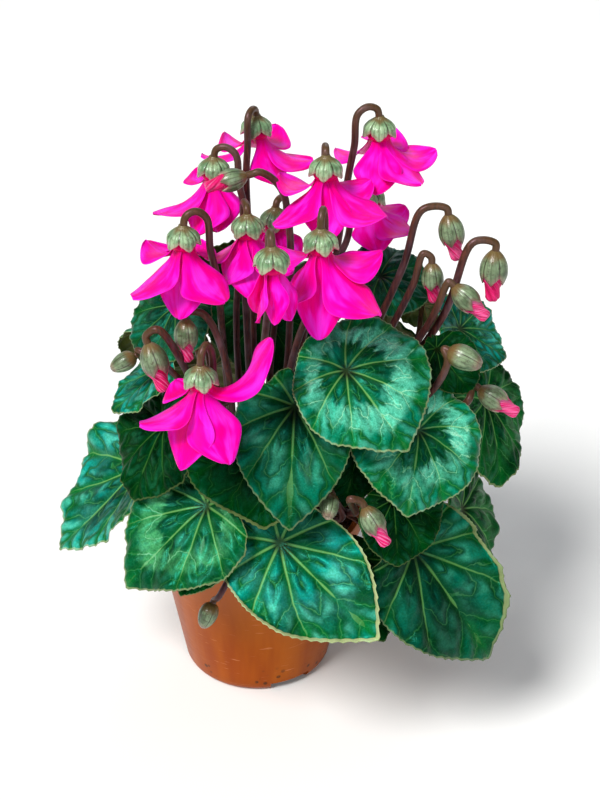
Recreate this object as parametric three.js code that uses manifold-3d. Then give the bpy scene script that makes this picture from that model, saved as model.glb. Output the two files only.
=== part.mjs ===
// A potted cyclamen in flower: pot, soil, tuber, leaves, nodding flowers and buds.
// Millimetres, +Z up. The origin is the centre of the pot's base, and -Y is the front.

import * as THREE from 'three';
import { mergeVertices } from 'three/addons/utils/BufferGeometryUtils.js';
import Module from 'manifold-3d';

const wasm = await Module();
wasm.setup();

const DEGREE = Math.PI / 180;
const V = (x, y, z) => new THREE.Vector3(x, y, z);

// Pot, a 12 cm nursery pot
const POT_HEIGHT = 105;
const POT_BASE_RADIUS = 42.5;
const POT_TOP_RADIUS = 60;
const POT_RIM_RADIUS = 62;
const POT_RIM_HEIGHT = 9;
const POT_WALL = 1.6;
const POT_FLOOR = 2;
const POT_CORNER = 4;
const POT_SIDES = 32;
const NOTCH_ANGLES = [28, 148, 268];
const NOTCH_SPREAD = 33;
const NOTCH_HEIGHT = 5.5;
const NOTCH_DEPTH = 8;

// Soil and tuber
const SEAT_GAP = 0.3;
const SOIL_TOP = 92;
const SOIL_LUMP = 1.2;
const SOIL_SIDES = 16;
const TUBER_RADIUS = 30;
const TUBER_HALF_HEIGHT = 14;
const TUBER_CENTRE = 90;
const TUBER_SIDES = 16;

// Stems grow from rings of places on the tuber
const ROOT_GAP = 0.3;
const ROOT_RINGS = [3.8, 9, 13.8, 18.8, 24];
const ROOT_SPACING = 0.6;
const CROWN_RADIUS = 3.4;
const CROWN_HEIGHT = 4;
const STEM_SIDES = 5;
const THIN_SIDES = 4;
const FLOWER_STEM_RADIUS = 1.9;
const BUD_STEM_RADIUS = 1.9;
const PETIOLE_RADIUS = 1.5;

// Leaf blades
const BLADE_THICKNESS = 1.0;
const BLADE_CLEARANCE = 0.8;
const SETTLE_STEP = 1;
const SETTLE_LIMIT = 24;
const BLADE_RINGS = [
  { reach: 0.42, spokes: 5 },
  { reach: 0.8, spokes: 8 },
  { reach: 1, spokes: 20 },
];
const SCALLOP = 0.035;

// Flowers
const PETAL_THICKNESS = 0.8;
const PETAL_WIDTH = 25;
const PETAL_SPANS = 2;
const PETAL_STEPS = 4;
const STEM_BERTH = 62;
const PETAL_PIN = 8;
const PETAL_PATH_STEPS = 24;
const THROAT_RADIUS = 6;
const THROAT_HEIGHT = 4;
const CALYX_RADIUS = 8;
const CALYX_HEIGHT = 8;
const SEPAL_DROP = 3;

const PLASTIC = new THREE.MeshStandardMaterial({ color: 0xb4602c, roughness: 0.42 });
const SOIL = new THREE.MeshStandardMaterial({ color: 0x33241a, roughness: 0.95 });
const TUBER = new THREE.MeshStandardMaterial({ color: 0x5a4030, roughness: 0.85 });
const LEAF = new THREE.MeshStandardMaterial({ color: 0x1c6a45, roughness: 0.4 });
const STEM = new THREE.MeshStandardMaterial({ color: 0x6a4238, roughness: 0.5 });
const PETAL = new THREE.MeshStandardMaterial({ color: 0xff1690, roughness: 0.45 });

// Leaves. at: the top of the petiole. face: azimuth and elevation of the blade's upper side.
// spin: turn of the tip from straight downhill. size: petiole to tip.
const LEAVES = [
  {
    name: 'leaf_01', at: [48, -76, 235], face: [-85, 54], spin: 32, size: 50, cup: -0.12,
    point: 0.18, wide: [1.08, 0.88], lobes: [0.85, 0.8],
  },
  {
    name: 'leaf_02', at: [85, -76, 200], face: [-70, 35], spin: -20, size: 44, cup: -0.05,
    point: 0.18, wide: [1.1, 1.1],
  },
  {
    name: 'leaf_03', at: [23, -72, 211], face: [-95, 32], size: 62, fold: 0.15, point: 0.28,
    wide: [0.74, 0.74], lobes: [0.6, 0.6],
  },
  {
    name: 'leaf_04', at: [9, -66, 187], face: [-99, 34], spin: 6, size: 46, cup: 0.05,
    point: 0.16, wide: [1.2, 1.2], lobes: [0.3, 0.5],
  },
  {
    name: 'leaf_05', at: [15, -87, 139], face: [-94, 36], spin: 48, size: 73, fold: 0.1,
    point: 0.28, wide: [0.58, 0.78], lobes: [1, 0.95],
  },
  {
    name: 'leaf_06', at: [86, -84, 132], face: [-64, 30], spin: 24, size: 75, fold: 0.1,
    point: 0.26, lobes: [0.9, 0.55], wide: [0.64, 0.78], bow: 0.16,
  },
  {
    name: 'leaf_07', at: [-24, -76, 155], face: [-122, 40], spin: -28, size: 62, point: 0.28,
    wide: [0.95, 0.9], lobes: [0.6, 0.65],
  },
  { name: 'leaf_08', at: [-64, -18, 141], face: [-160, 45], spin: 4, size: 64, cup: 0.08, fold: 0.2 },
  {
    name: 'leaf_09', at: [-46, -49, 186], face: [-140, 38], spin: 6, size: 42, cup: -0.08,
    point: 0.16, lobes: [0.7, 0.7],
  },
  {
    name: 'leaf_10', at: [57, -61, 186], face: [-84, 34], spin: -18, size: 37, cup: -0.05,
    wide: [0.6, 1.1], lobes: [0.3, 0.3],
  },
  {
    name: 'leaf_11', at: [-48, -27, 208], face: [-160, 48], spin: 4, size: 34, cup: 0.1,
    point: 0.16, wide: [0.8, 0.75], lobes: [0.7, 0.6],
  },
  {
    name: 'leaf_12', at: [-36, -8, 232], face: [-138, 42], spin: 6, size: 38, cup: -0.06,
    point: 0.16, lobes: [0.8, 0.8],
  },
  {
    name: 'leaf_13', at: [-10, 42, 224], face: [100, 38], spin: 6, size: 42, lift: 0.3,
    lobes: [0.7, 0.7],
  },
  { name: 'leaf_15', at: [67, 6, 243], face: [-60, 60], spin: 60, size: 32, cup: -0.1, point: 0.16 },
  {
    name: 'leaf_16', at: [89, 10, 216], face: [70, 34], size: 36, lift: 0.3, wide: [0.9, 0.9],
    lobes: [0.8, 0.8],
  },
  { name: 'leaf_17', at: [112, 0, 217], face: [-35, 42], spin: 30, size: 32, cup: 0.08, point: 0.16 },
  {
    name: 'leaf_18', at: [95, -43, 228], face: [-55, 45], spin: 10, size: 28, cup: 0.15,
    point: 0.12, wide: [0.9, 0.9], lobes: [0.4, 0.4], bow: -0.04, ring: 4,
  },
  {
    name: 'leaf_19', at: [4, 27, 214], face: [-92, 10], size: 42, point: 0.16, wide: [1, 1],
    lobes: [0.8, 0.8],
  },
  { name: 'leaf_20', at: [127, -12, 179], face: [-34, 30], spin: -16, size: 48, cup: -0.08, point: 0.18 },
  { name: 'leaf_21', at: [118, -26, 118], face: [-20, 24], spin: -10, size: 54 },
  {
    name: 'leaf_22', at: [73, -82, 162], face: [-70, 32], spin: -8, size: 34, cup: 0.05,
    point: 0.12, wide: [1, 0.7], lobes: [0.7, 0.5],
  },
  {
    name: 'leaf_23', at: [54, -75, 120], face: [-78, 36], spin: 12, size: 46, wide: [0.75, 0.95],
    lobes: [0.5, 0.6],
  },
  { name: 'leaf_24', at: [-26, -62, 114], face: [-112, 48], spin: -10, size: 26, cup: 0.1, bow: 0.2 },
  { name: 'leaf_25', at: [-44, 48, 204], face: [132, 40], spin: 6, size: 54, cup: -0.08 },
  { name: 'leaf_26', at: [22, 66, 212], face: [88, 38], spin: -8, size: 56, cup: -0.06 },
  {
    name: 'leaf_27', at: [77, 47, 194], face: [42, 34], spin: 8, size: 54, cup: -0.08,
    lobes: [0.7, 0.7],
  },
  { name: 'leaf_28', at: [-60, 46, 138], face: [144, 30], spin: 0, size: 56, droop: 0.15 },
  { name: 'leaf_29', at: [-28, 84, 150], face: [108, 30], spin: -8, size: 58, droop: 0.15 },
  { name: 'leaf_30', at: [42, 86, 142], face: [66, 28], spin: 6, size: 60, droop: 0.2 },
  { name: 'leaf_31', at: [102, 50, 136], face: [25, 28], size: 58, droop: 0.15 },
];

// Flowers. at: the centre of the calyx rim. arch: azimuth and width of the hook that the stem
// makes. rise: height of the hook over the calyx. via: a place on the stem where it leaves the
// foliage. petals, counted round from the gap where the stem passes: spread from straight down,
// length, a nudge of the azimuth, and how close to the throat the petal bends.
const FLOWERS = [
  {
    name: 'flower_01', at: [3, 34, 315], arch: [-114, 11], rise: 4, via: [0, 14, 226], ring: 0,
    petals: [[30, 30, 14], [58, 34], [80, 28], [72, 34], [66, 32]],
  },
  {
    name: 'flower_02', at: [65, 4, 325], arch: [197, 13], rise: 5, via: [38, -8, 226], ring: 1,
    petals: [[30, 29, 5], [52, 33], [68, 34], [80, 28], [60, 33]],
  },
  {
    name: 'flower_03', at: [-18, 4, 304], arch: [-13, 13], rise: 5, via: [-8, -4, 226], ring: 0,
    petals: [[38, 24], [78, 28], [64, 38, 40], [34, 31, 22], [26, 28, -8]],
  },
  {
    name: 'flower_04', at: [38, -26, 316], arch: [92, 10], rise: 2, via: [28, -16, 226], ring: 1,
    petals: [[80, 28], [54, 36, 2], [26, 31], [66, 39, -6], [70, 28]],
  },
  {
    name: 'flower_05', at: [-30, -52, 291], arch: [18, 13], rise: 6, via: [-14, -28, 224], ring: 1,
    petals: [[70, 28], [76, 29], [56, 36, 22], [18, 35, 4], [54, 36, -4]],
  },
  {
    name: 'flower_06', at: [0, -34, 289], arch: [102, 12], rise: 3, via: [-2, -18, 226], ring: 0,
    petals: [[50, 26, 4], [24, 26], [26, 32], [50, 28], [38, 25]],
  },
  {
    name: 'flower_07', at: [35, -74, 299], arch: [78, 10], rise: 7, via: [24, -38, 228], ring: 1,
    petals: [[74, 28], [30, 32, 4], [14, 42, 10], [56, 43], [80, 34]],
  },
  {
    name: 'flower_08', at: [-21, -95, 239], arch: [61, 11], rise: 8, via: [-3, -52, 206], ring: 1,
    petals: [[66, 27], [62, 35, 22], [24, 41], [38, 39], [84, 47, 0, 4]], width: 27,
  },
  {
    name: 'flower_09', at: [62, 24, 280], arch: [214, 12], rise: 3, via: [34, 8, 230], ring: 1,
    petals: [[26, 25, 14], [60, 27], [70, 26], [66, 24], [52, 25, -8]],
  },
  {
    name: 'flower_10', at: [13, -100, 302], arch: [98, 10], rise: 4, via: [7, -52, 226], ring: 1,
    petals: [[9, 25], [11, 26], [8, 26], [12, 26], [9, 25]], width: 15, pin: 34,
  },
  {
    name: 'flower_11', at: [13, 0, 278], arch: [60, 11], rise: 3, via: [13, 2, 228], ring: 0,
    petals: [[26, 22], [20, 23], [18, 24], [20, 23], [26, 22]], width: 16, pin: 34,
  },
];

// Buds, in four groups that each grow from one place. at: the centre of the bud's calyx.
// hang: the way its tip points. green: still closed by its calyx. stem: places along the stem
// from the bud down.
const BUD_GROUPS = [
  {
    name: 'buds_right', azimuth: -24, ring: 3,
    buds: [
      { at: [101, -20, 281], hang: [0.25, -0.1, -1], size: 1.15, stem: [[86, -20, 293], [77, -22, 262]] },
      { at: [92, -27, 259], hang: [0.1, -0.1, -1], size: 1, stem: [[87, -26, 272], [82, -28, 255]] },
      { at: [122, -30, 265], hang: [0, -0.1, -1], size: 1.25, stem: [[111, -30, 280], [97, -34, 240]] },
      { at: [108, -40, 254], hang: [0.8, -0.3, -0.7], size: 1.1, stem: [[98, -37, 260], [91, -37, 240]] },
      {
        at: [123, -56, 206], hang: [0.9, -0.3, -0.5], size: 1.1,
        stem: [[110, -59, 207], [103, -54, 196]],
      },
      {
        at: [105, -72, 238], hang: [0.8, -0.4, -0.2], size: 1, green: true,
        stem: [[97, -70, 236], [91, -65, 216]],
      },
    ],
  },
  {
    name: 'buds_front', azimuth: -76, ring: 3,
    buds: [
      {
        at: [61, -108, 167], hang: [0.5, -0.3, -0.8], size: 1.05,
        stem: [[50, -106, 179], [53, -90, 160], [48, -70, 146]],
      },
      {
        at: [40, -92, 165], hang: [-0.1, -0.9, -0.4], size: 0.8, green: true,
        stem: [[42, -84, 166], [47, -75, 146]],
      },
      {
        at: [-24, -73, 81], hang: [-0.4, -0.3, -0.9], size: 0.85, green: true,
        stem: [[-18, -73, 93], [-8, -66, 110]],
      },
    ],
  },
  {
    name: 'buds_left', azimuth: -122, ring: 3,
    buds: [
      { at: [-45, -70, 235], hang: [0.3, -0.2, -1], size: 1.2, stem: [[-43, -69, 252], [-32, -62, 229]] },
      { at: [-30, -60, 244], hang: [0, -0.1, -1], size: 1.05, stem: [[-22, -58, 255], [-12, -55, 230]] },
    ],
  },
  {
    name: 'buds_side', azimuth: -128, ring: 3,
    buds: [
      {
        at: [-64, -42, 219], hang: [-0.8, -0.2, -0.4], size: 0.8, green: true,
        stem: [[-56, -44, 227], [-44, -48, 222], [-30, -44, 200]],
      },
    ],
  },
  {
    name: 'buds_top', azimuth: -42, ring: 1,
    buds: [
      {
        at: [-8, -26, 311], hang: [-0.9, -0.2, -0.2], size: 1,
        stem: [[6, -23, 314], [17, -17, 301], [20, -22, 226]],
      },
    ],
  },
];

// A seeded draw between two values, the same on every run
function draws(seed) {
  let state = seed;
  return (low, high) => {
    state = (state * 16807) % 2147483647;
    return low + (high - low) * (state / 2147483647);
  };
}

function smoothstep(low, high, value) {
  const t = Math.min(1, Math.max(0, (value - low) / (high - low)));
  return t * t * (3 - 2 * t);
}

// A closed geometry as a solid that can be joined and cut
function solidOf(geometry) {
  const bare = geometry.clone();
  bare.deleteAttribute('normal');
  bare.deleteAttribute('uv');
  const merged = mergeVertices(bare, 1e-4);
  const index = merged.index.array;
  const kept = [];
  for (let i = 0; i < index.length; i += 3) {
    const [a, b, c] = [index[i], index[i + 1], index[i + 2]];
    if (a !== b && b !== c && c !== a) kept.push(a, b, c);
  }
  const mesh = new wasm.Mesh({
    numProp: 3,
    vertProperties: new Float32Array(merged.attributes.position.array),
    triVerts: new Uint32Array(kept),
  });
  return new wasm.Manifold(mesh);
}

function geometryOf(solid) {
  const mesh = solid.getMesh();
  const geometry = new THREE.BufferGeometry();
  geometry.setAttribute('position', new THREE.BufferAttribute(new Float32Array(mesh.vertProperties), 3));
  geometry.setIndex(new THREE.BufferAttribute(new Uint32Array(mesh.triVerts), 1));
  geometry.computeVertexNormals();
  return geometry;
}

function join(solids) {
  return solids.reduce((whole, solid) => whole.add(solid));
}

// A grid of points as a closed sheet: both faces are split alike, and an edge band closes it.
// rows of unequal length are stitched by walking both at the same share of their length.
function stitch(rowA, rowB, faces) {
  let a = 0;
  let b = 0;
  while (a < rowA.length - 1 || b < rowB.length - 1) {
    const nextA = (a + 1) / (rowA.length - 1 || 1);
    const nextB = (b + 1) / (rowB.length - 1 || 1);
    if (b >= rowB.length - 1 || (a < rowA.length - 1 && nextA < nextB)) {
      faces.push([rowA[a], rowB[b], rowA[a + 1]]);
      a += 1;
    } else {
      faces.push([rowA[a], rowB[b], rowB[b + 1]]);
      b += 1;
    }
  }
}

function sheetSolid(rows, outline) {
  const points = [];
  const indexRows = rows.map((row) => row.map((pair) => points.push(pair) - 1));
  const faces = [];
  for (let i = 0; i + 1 < indexRows.length; i += 1) stitch(indexRows[i], indexRows[i + 1], faces);
  const positions = [];
  for (const [top] of points) positions.push(top.x, top.y, top.z);
  for (const [, bottom] of points) positions.push(bottom.x, bottom.y, bottom.z);
  const count = points.length;
  const index = [];
  for (const [a, b, c] of faces) index.push(a, b, c, count + a, count + c, count + b);
  const loop = outline(indexRows);
  loop.forEach((a, i) => {
    const b = loop[(i + 1) % loop.length];
    index.push(b, a, count + a, b, count + a, count + b);
  });
  const geometry = new THREE.BufferGeometry();
  geometry.setAttribute('position', new THREE.Float32BufferAttribute(positions, 3));
  geometry.setIndex(index);
  return solidOf(geometry);
}

// A curve that is sampled evenly between its given points, so tight bends get enough steps
class StemPath extends THREE.CatmullRomCurve3 {
  getUtoTmapping(u) {
    return u;
  }
}

function tube(points, radius, steps, sides) {
  const section = new THREE.Shape();
  for (let i = 0; i < sides; i += 1) {
    const angle = (i / sides) * 2 * Math.PI;
    const corner = [radius * Math.cos(angle), radius * Math.sin(angle)];
    if (i === 0) section.moveTo(...corner);
    else section.lineTo(...corner);
  }
  section.closePath();
  const path = new StemPath(points, false, 'centripetal');
  return solidOf(new THREE.ExtrudeGeometry(section, { steps, extrudePath: path, bevelEnabled: false }));
}

function tuberTop(radius, angle) {
  const share = radius / TUBER_RADIUS;
  const rise = Math.sqrt(1 - share * share);
  const normal = V(
    (share * Math.cos(angle)) / TUBER_RADIUS,
    (share * Math.sin(angle)) / TUBER_RADIUS,
    rise / TUBER_HALF_HEIGHT,
  ).normalize();
  const point = V(
    radius * Math.cos(angle),
    radius * Math.sin(angle),
    TUBER_CENTRE + TUBER_HALF_HEIGHT * rise,
  ).addScaledVector(normal, ROOT_GAP);
  return { point, normal };
}

// The stems of one ring stand round the tuber in the order of their directions, and are pushed
// apart until each has room for its girth
function spreadRoots(stems, radius) {
  const sorted = [...stems].sort((a, b) => a.azimuth - b.azimuth);
  const turns = sorted.map((stem) => stem.azimuth * DEGREE);
  for (let round = 0; round < 300; round += 1) {
    for (let i = 0; i < sorted.length; i += 1) {
      const next = (i + 1) % sorted.length;
      const room = (sorted[i].girth + sorted[next].girth + ROOT_SPACING) / radius;
      const gap = turns[next] - turns[i] + (next === 0 ? 2 * Math.PI : 0);
      const push = Math.max(0, room - gap) / 2;
      turns[i] -= push;
      turns[next] += push;
    }
  }
  sorted.forEach((stem, i) => {
    stem.root = tuberTop(radius, turns[i]);
  });
}

// Pot, soil and tuber
function wallRadius(z) {
  return POT_BASE_RADIUS + ((POT_TOP_RADIUS - POT_BASE_RADIUS) * z) / POT_HEIGHT;
}

function lathe(profile, sides) {
  return solidOf(new THREE.LatheGeometry(profile.map(([r, z]) => new THREE.Vector2(r, z)), sides)
    .rotateX(Math.PI / 2));
}

function potSolid() {
  const rimBottom = POT_HEIGHT - POT_RIM_HEIGHT;
  const rimLip = 1;
  const shell = lathe([
    [0, 0],
    [POT_BASE_RADIUS - POT_CORNER, 0],
    [POT_BASE_RADIUS - POT_CORNER * 0.3, POT_CORNER * 0.3],
    [wallRadius(POT_CORNER), POT_CORNER],
    [wallRadius(rimBottom), rimBottom],
    [POT_RIM_RADIUS, rimBottom + rimLip],
    [POT_RIM_RADIUS, POT_HEIGHT - rimLip],
    [POT_RIM_RADIUS - rimLip, POT_HEIGHT],
    [POT_TOP_RADIUS - POT_WALL, POT_HEIGHT],
    [wallRadius(POT_CORNER) - POT_WALL, POT_CORNER],
    [wallRadius(POT_FLOOR) - POT_CORNER, POT_FLOOR],
    [0, POT_FLOOR],
  ], POT_SIDES);
  const notchReach = 30;
  return NOTCH_ANGLES.reduce((pot, degrees) => {
    const half = (NOTCH_SPREAD / 2) * DEGREE;
    const wedge = new THREE.Shape();
    wedge.absarc(0, 0, POT_BASE_RADIUS + notchReach, -half, half, false);
    wedge.absarc(0, 0, POT_BASE_RADIUS - NOTCH_DEPTH, half, -half, true);
    wedge.closePath();
    const block = new THREE.ExtrudeGeometry(wedge, {
      depth: NOTCH_HEIGHT + 1,
      curveSegments: 4,
      bevelEnabled: false,
    });
    block.translate(0, 0, -1).rotateZ((degrees - 90) * DEGREE);
    return pot.subtract(solidOf(block));
  }, shell);
}

function tuberGeometry(grow) {
  return new THREE.SphereGeometry(1, TUBER_SIDES, TUBER_SIDES / 2)
    .rotateX(Math.PI / 2)
    .scale(TUBER_RADIUS + grow, TUBER_RADIUS + grow, TUBER_HALF_HEIGHT + grow)
    .translate(0, 0, TUBER_CENTRE);
}

function soilSolid() {
  const draw = draws(4127);
  const rings = [0, 20, 38, 50];
  const edge = wallRadius(SOIL_TOP) - POT_WALL - SEAT_GAP * 2;
  const bottom = POT_FLOOR + SEAT_GAP;
  const profile = [[0, bottom], [wallRadius(POT_CORNER) - POT_WALL - POT_CORNER, bottom]];
  profile.push([wallRadius(POT_CORNER * 2) - POT_WALL - SEAT_GAP, POT_CORNER * 2]);
  profile.push([edge, SOIL_TOP - 2]);
  for (const radius of [...rings].reverse()) profile.push([Math.min(radius, edge - 1), SOIL_TOP]);
  const geometry = new THREE.LatheGeometry(
    profile.map(([r, z]) => new THREE.Vector2(r, z)),
    SOIL_SIDES,
  ).rotateX(Math.PI / 2);
  geometry.deleteAttribute('normal');
  geometry.deleteAttribute('uv');
  const merged = mergeVertices(geometry, 1e-4);
  const position = merged.attributes.position;
  for (let i = 0; i < position.count; i += 1) {
    if (position.getZ(i) > SOIL_TOP - 1) position.setZ(i, SOIL_TOP + draw(-SOIL_LUMP, SOIL_LUMP));
  }
  return solidOf(merged).subtract(solidOf(tuberGeometry(SEAT_GAP)));
}

// Leaves
function leafFrame(leaf) {
  const [azimuth, elevation] = leaf.face.map((degrees) => degrees * DEGREE);
  const normal = V(
    Math.cos(azimuth) * Math.cos(elevation),
    Math.sin(azimuth) * Math.cos(elevation),
    Math.sin(elevation),
  );
  const downhill = V(
    Math.cos(azimuth) * Math.sin(elevation),
    Math.sin(azimuth) * Math.sin(elevation),
    -Math.cos(elevation),
  );
  const across = normal.clone().cross(downhill);
  const spin = (leaf.spin ?? 0) * DEGREE;
  const tip = downhill.multiplyScalar(Math.cos(spin)).addScaledVector(across, Math.sin(spin));
  return { normal, tip, side: normal.clone().cross(tip) };
}

// The blade's outline: distance from the petiole to the edge, as a share of its size
function edgeReach(leaf, angle) {
  const [wideLeft, wideRight] = leaf.wide ?? [1, 1];
  const turn = Math.abs(angle);
  const heart = 0.9 - (leaf.point ?? 0.24) + 0.1 * Math.cos(turn);
  const point = (leaf.point ?? 0.24) * Math.exp(-turn / 0.3);
  const fromGap = Math.min(1, Math.max(0, (Math.PI - leaf.gap - turn) / 0.55));
  const [lobeLeft, lobeRight] = leaf.lobes ?? [0.9, 0.9];
  const back = 1 + ((angle > 0 ? lobeLeft : lobeRight) - 1) * smoothstep(1.3, 2.4, turn);
  const lobe = back * (0.62 + 0.38 * Math.sqrt(fromGap * (2 - fromGap)));
  const wide = angle > 0 ? wideLeft : wideRight;
  return (heart + point) * lobe * (1 + (wide - 1) * Math.sin(turn) ** 2);
}

// The blade's height over its own plane, as a share of its size
function bladeHeight(leaf, angle, share, reach) {
  const x = share * reach * Math.cos(angle);
  const y = share * reach * Math.sin(angle);
  const out = Math.hypot(x, y);
  const funnel = -0.06 * Math.exp(-((out / 0.13) ** 2));
  const fold = (leaf.fold ?? 0) * (Math.hypot(y, 0.12) - 0.12);
  const droop = -(leaf.droop ?? 0) * Math.max(0, x - 0.35) ** 2;
  const lift = (leaf.lift ?? 0) * Math.max(0, -x - 0.1) ** 1.5;
  const wave = (leaf.wave ?? 0.045) * share ** 3 * Math.sin(leaf.waves * angle + leaf.phase);
  return (leaf.cup ?? 0) * out ** 2 + funnel + fold + droop + lift + wave;
}

function bladePoint(leaf, frame, angle, share, depth, scallop) {
  const reach = edgeReach(leaf, angle) * scallop;
  const out = share * reach * leaf.size;
  const height = bladeHeight(leaf, angle, share, reach) * leaf.size - depth;
  return V(...leaf.at)
    .addScaledVector(frame.tip, out * Math.cos(angle))
    .addScaledVector(frame.side, out * Math.sin(angle))
    .addScaledVector(frame.normal, height);
}

function bladeSolid(leaf, frame) {
  const pairAt = (angle, share, scallop) => [
    bladePoint(leaf, frame, angle, share, 0, scallop),
    bladePoint(leaf, frame, angle, share, BLADE_THICKNESS, scallop),
  ];
  const rows = [[pairAt(0, 0, 1)]];
  for (const { reach, spokes } of BLADE_RINGS) {
    const row = [];
    for (let i = 0; i <= spokes; i += 1) {
      const angle = (Math.PI - leaf.gap) * (2 * (i / spokes) - 1);
      const scallop = reach === 1 && i % 2 === 1 ? 1 - SCALLOP : 1;
      row.push(pairAt(angle, reach, scallop));
    }
    rows.push(row);
  }
  return sheetSolid(rows, (index) => {
    const edge = index[index.length - 1];
    const inner = index.slice(1, -1);
    return [
      index[0][0],
      ...inner.map((row) => row[0]),
      ...edge,
      ...[...inner].reverse().map((row) => row[row.length - 1]),
    ];
  });
}

function petioleSolid(leaf, frame) {
  const { point, normal } = leaf.root;
  const funnelDepth = -bladeHeight(leaf, 0, 0, 0) * leaf.size;
  const top = V(...leaf.at).addScaledVector(frame.normal, -funnelDepth - BLADE_THICKNESS * 0.7);
  const reach = top.distanceTo(point);
  const bow = leaf.bow ?? 0.1;
  const under = top.clone()
    .addScaledVector(frame.normal, -reach * 0.14)
    .add(V(0, 0, -reach * 0.05));
  const start = point.clone().addScaledVector(normal, 6);
  const middle = start.clone().lerp(under, 0.5).add(V(0, 0, reach * bow));
  return tube([point, start, middle, under, top], PETIOLE_RADIUS, 5, THIN_SIDES);
}

function leafSolid(leaf) {
  const frame = leafFrame(leaf);
  return bladeSolid(leaf, frame).add(petioleSolid(leaf, frame));
}

// Each leaf moves out along its own upper side until it lies clear of what is there already
function settleLeaf(leaf, placed) {
  const { normal } = leafFrame(leaf);
  const start = V(...leaf.at);
  let slide = 0;
  while (slide <= SETTLE_LIMIT) {
    leaf.at = start.clone().addScaledVector(normal, slide).toArray();
    const solid = leafSolid(leaf);
    if (!placed.some((other) => !solid.intersect(other).isEmpty())) break;
    slide += SETTLE_STEP;
  }
  leaf.slide = slide;
  leaf.at = start.clone().addScaledVector(normal, slide + (slide > 0 ? BLADE_CLEARANCE : 0)).toArray();
  return leafSolid(leaf);
}

// Flowers. The petal's middle line leaves the throat, bends outward by its spread, and its
// width turns about that line, so that each petal lies over one neighbour and under the other.
function petalFrame(petal, t) {
  const [spreadDegrees, length, nudge = 0, hinge = 1] = petal.form;
  const azimuth = (petal.azimuth + nudge) * DEGREE;
  const first = Math.min(spreadDegrees, 30) * 0.5 * DEGREE;
  const bend = 2 * spreadDegrees * DEGREE - 2 * first;
  const angleAt = (share) => first + bend * (1 - (1 - share) ** hinge);
  let out = THROAT_RADIUS * 0.6;
  let fall = 0;
  for (let i = 0; i < PETAL_PATH_STEPS; i += 1) {
    const angle = angleAt((t * (i + 0.5)) / PETAL_PATH_STEPS);
    out += (length * t * Math.sin(angle)) / PETAL_PATH_STEPS;
    fall += (length * t * Math.cos(angle)) / PETAL_PATH_STEPS;
  }
  const angle = angleAt(t);
  const radial = V(Math.cos(azimuth), Math.sin(azimuth), 0);
  const along = V(-Math.sin(azimuth), Math.cos(azimuth), 0);
  const outward = radial.clone().multiplyScalar(Math.cos(angle)).setZ(Math.sin(angle));
  const turn = petal.pin * DEGREE + petal.twist * DEGREE * t * t;
  return {
    centre: radial.multiplyScalar(out).setZ(-THROAT_HEIGHT * 0.5 - fall),
    side: along.clone().multiplyScalar(Math.cos(turn)).addScaledVector(outward, Math.sin(turn)),
    face: outward.multiplyScalar(Math.cos(turn)).addScaledVector(along, -Math.sin(turn)),
  };
}

function petalHalfWidth(petal, t) {
  const opening = 0.3 + 0.7 * smoothstep(0.08, 0.58, t);
  const narrowing = 1 - 0.72 * smoothstep(0.5, 1, t);
  return (petal.width / 2) * opening * narrowing;
}

function petalPoint(petal, t, s, lift) {
  const { centre, side, face } = petalFrame(petal, t);
  const half = petalHalfWidth(petal, t);
  const cupped = -petal.cup * half * s * s;
  return centre.addScaledVector(side, half * s).addScaledVector(face, cupped + lift);
}

function petalSolid(petal) {
  const rows = [];
  for (let i = 0; i <= PETAL_STEPS; i += 1) {
    const row = [];
    for (let j = 0; j <= PETAL_SPANS; j += 1) {
      const s = (2 * j) / PETAL_SPANS - 1;
      const t = i / PETAL_STEPS;
      row.push([
        petalPoint(petal, t, s, PETAL_THICKNESS / 2),
        petalPoint(petal, t, s, -PETAL_THICKNESS / 2),
      ]);
    }
    rows.push(row);
  }
  return sheetSolid(rows, (index) => [
    ...index[0].slice(0, 1),
    ...index.slice(1, -1).map((row) => row[0]),
    ...index[index.length - 1],
    ...index.slice(1, -1).reverse().map((row) => row[row.length - 1]),
    ...index[0].slice(1).reverse(),
  ]);
}

function corollaSolid(flower, draw) {
  const throat = lathe([
    [0, -THROAT_HEIGHT],
    [THROAT_RADIUS, -THROAT_HEIGHT],
    [THROAT_RADIUS, 0],
    [0, 0],
  ], 6);
  const between = (360 - 2 * STEM_BERTH) / (flower.petals.length - 1);
  const petals = flower.petals.map((form, i) => petalSolid({
    form,
    azimuth: flower.arch[0] + STEM_BERTH + between * i,
    width: flower.width ?? PETAL_WIDTH,
    pin: flower.pin ?? PETAL_PIN,
    twist: draw(-12, 16),
    cup: draw(0.1, 0.35),
  }));
  return join([throat, ...petals]);
}

function calyxSolid() {
  const sides = 10;
  const profile = [
    [0, SEAT_GAP],
    [CALYX_RADIUS * 0.8, SEAT_GAP],
    [CALYX_RADIUS, 0],
    [CALYX_RADIUS * 0.86, CALYX_HEIGHT * 0.5],
    [FLOWER_STEM_RADIUS * 0.9, CALYX_HEIGHT],
    [0, CALYX_HEIGHT],
  ];
  const rim = 2;
  const geometry = new THREE.LatheGeometry(profile.map(([r, z]) => new THREE.Vector2(r, z)), sides)
    .rotateX(Math.PI / 2);
  const position = geometry.attributes.position;
  for (let column = 0; column <= sides; column += 2) {
    position.setZ(column * profile.length + rim, -SEPAL_DROP);
  }
  return solidOf(geometry);
}

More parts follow.
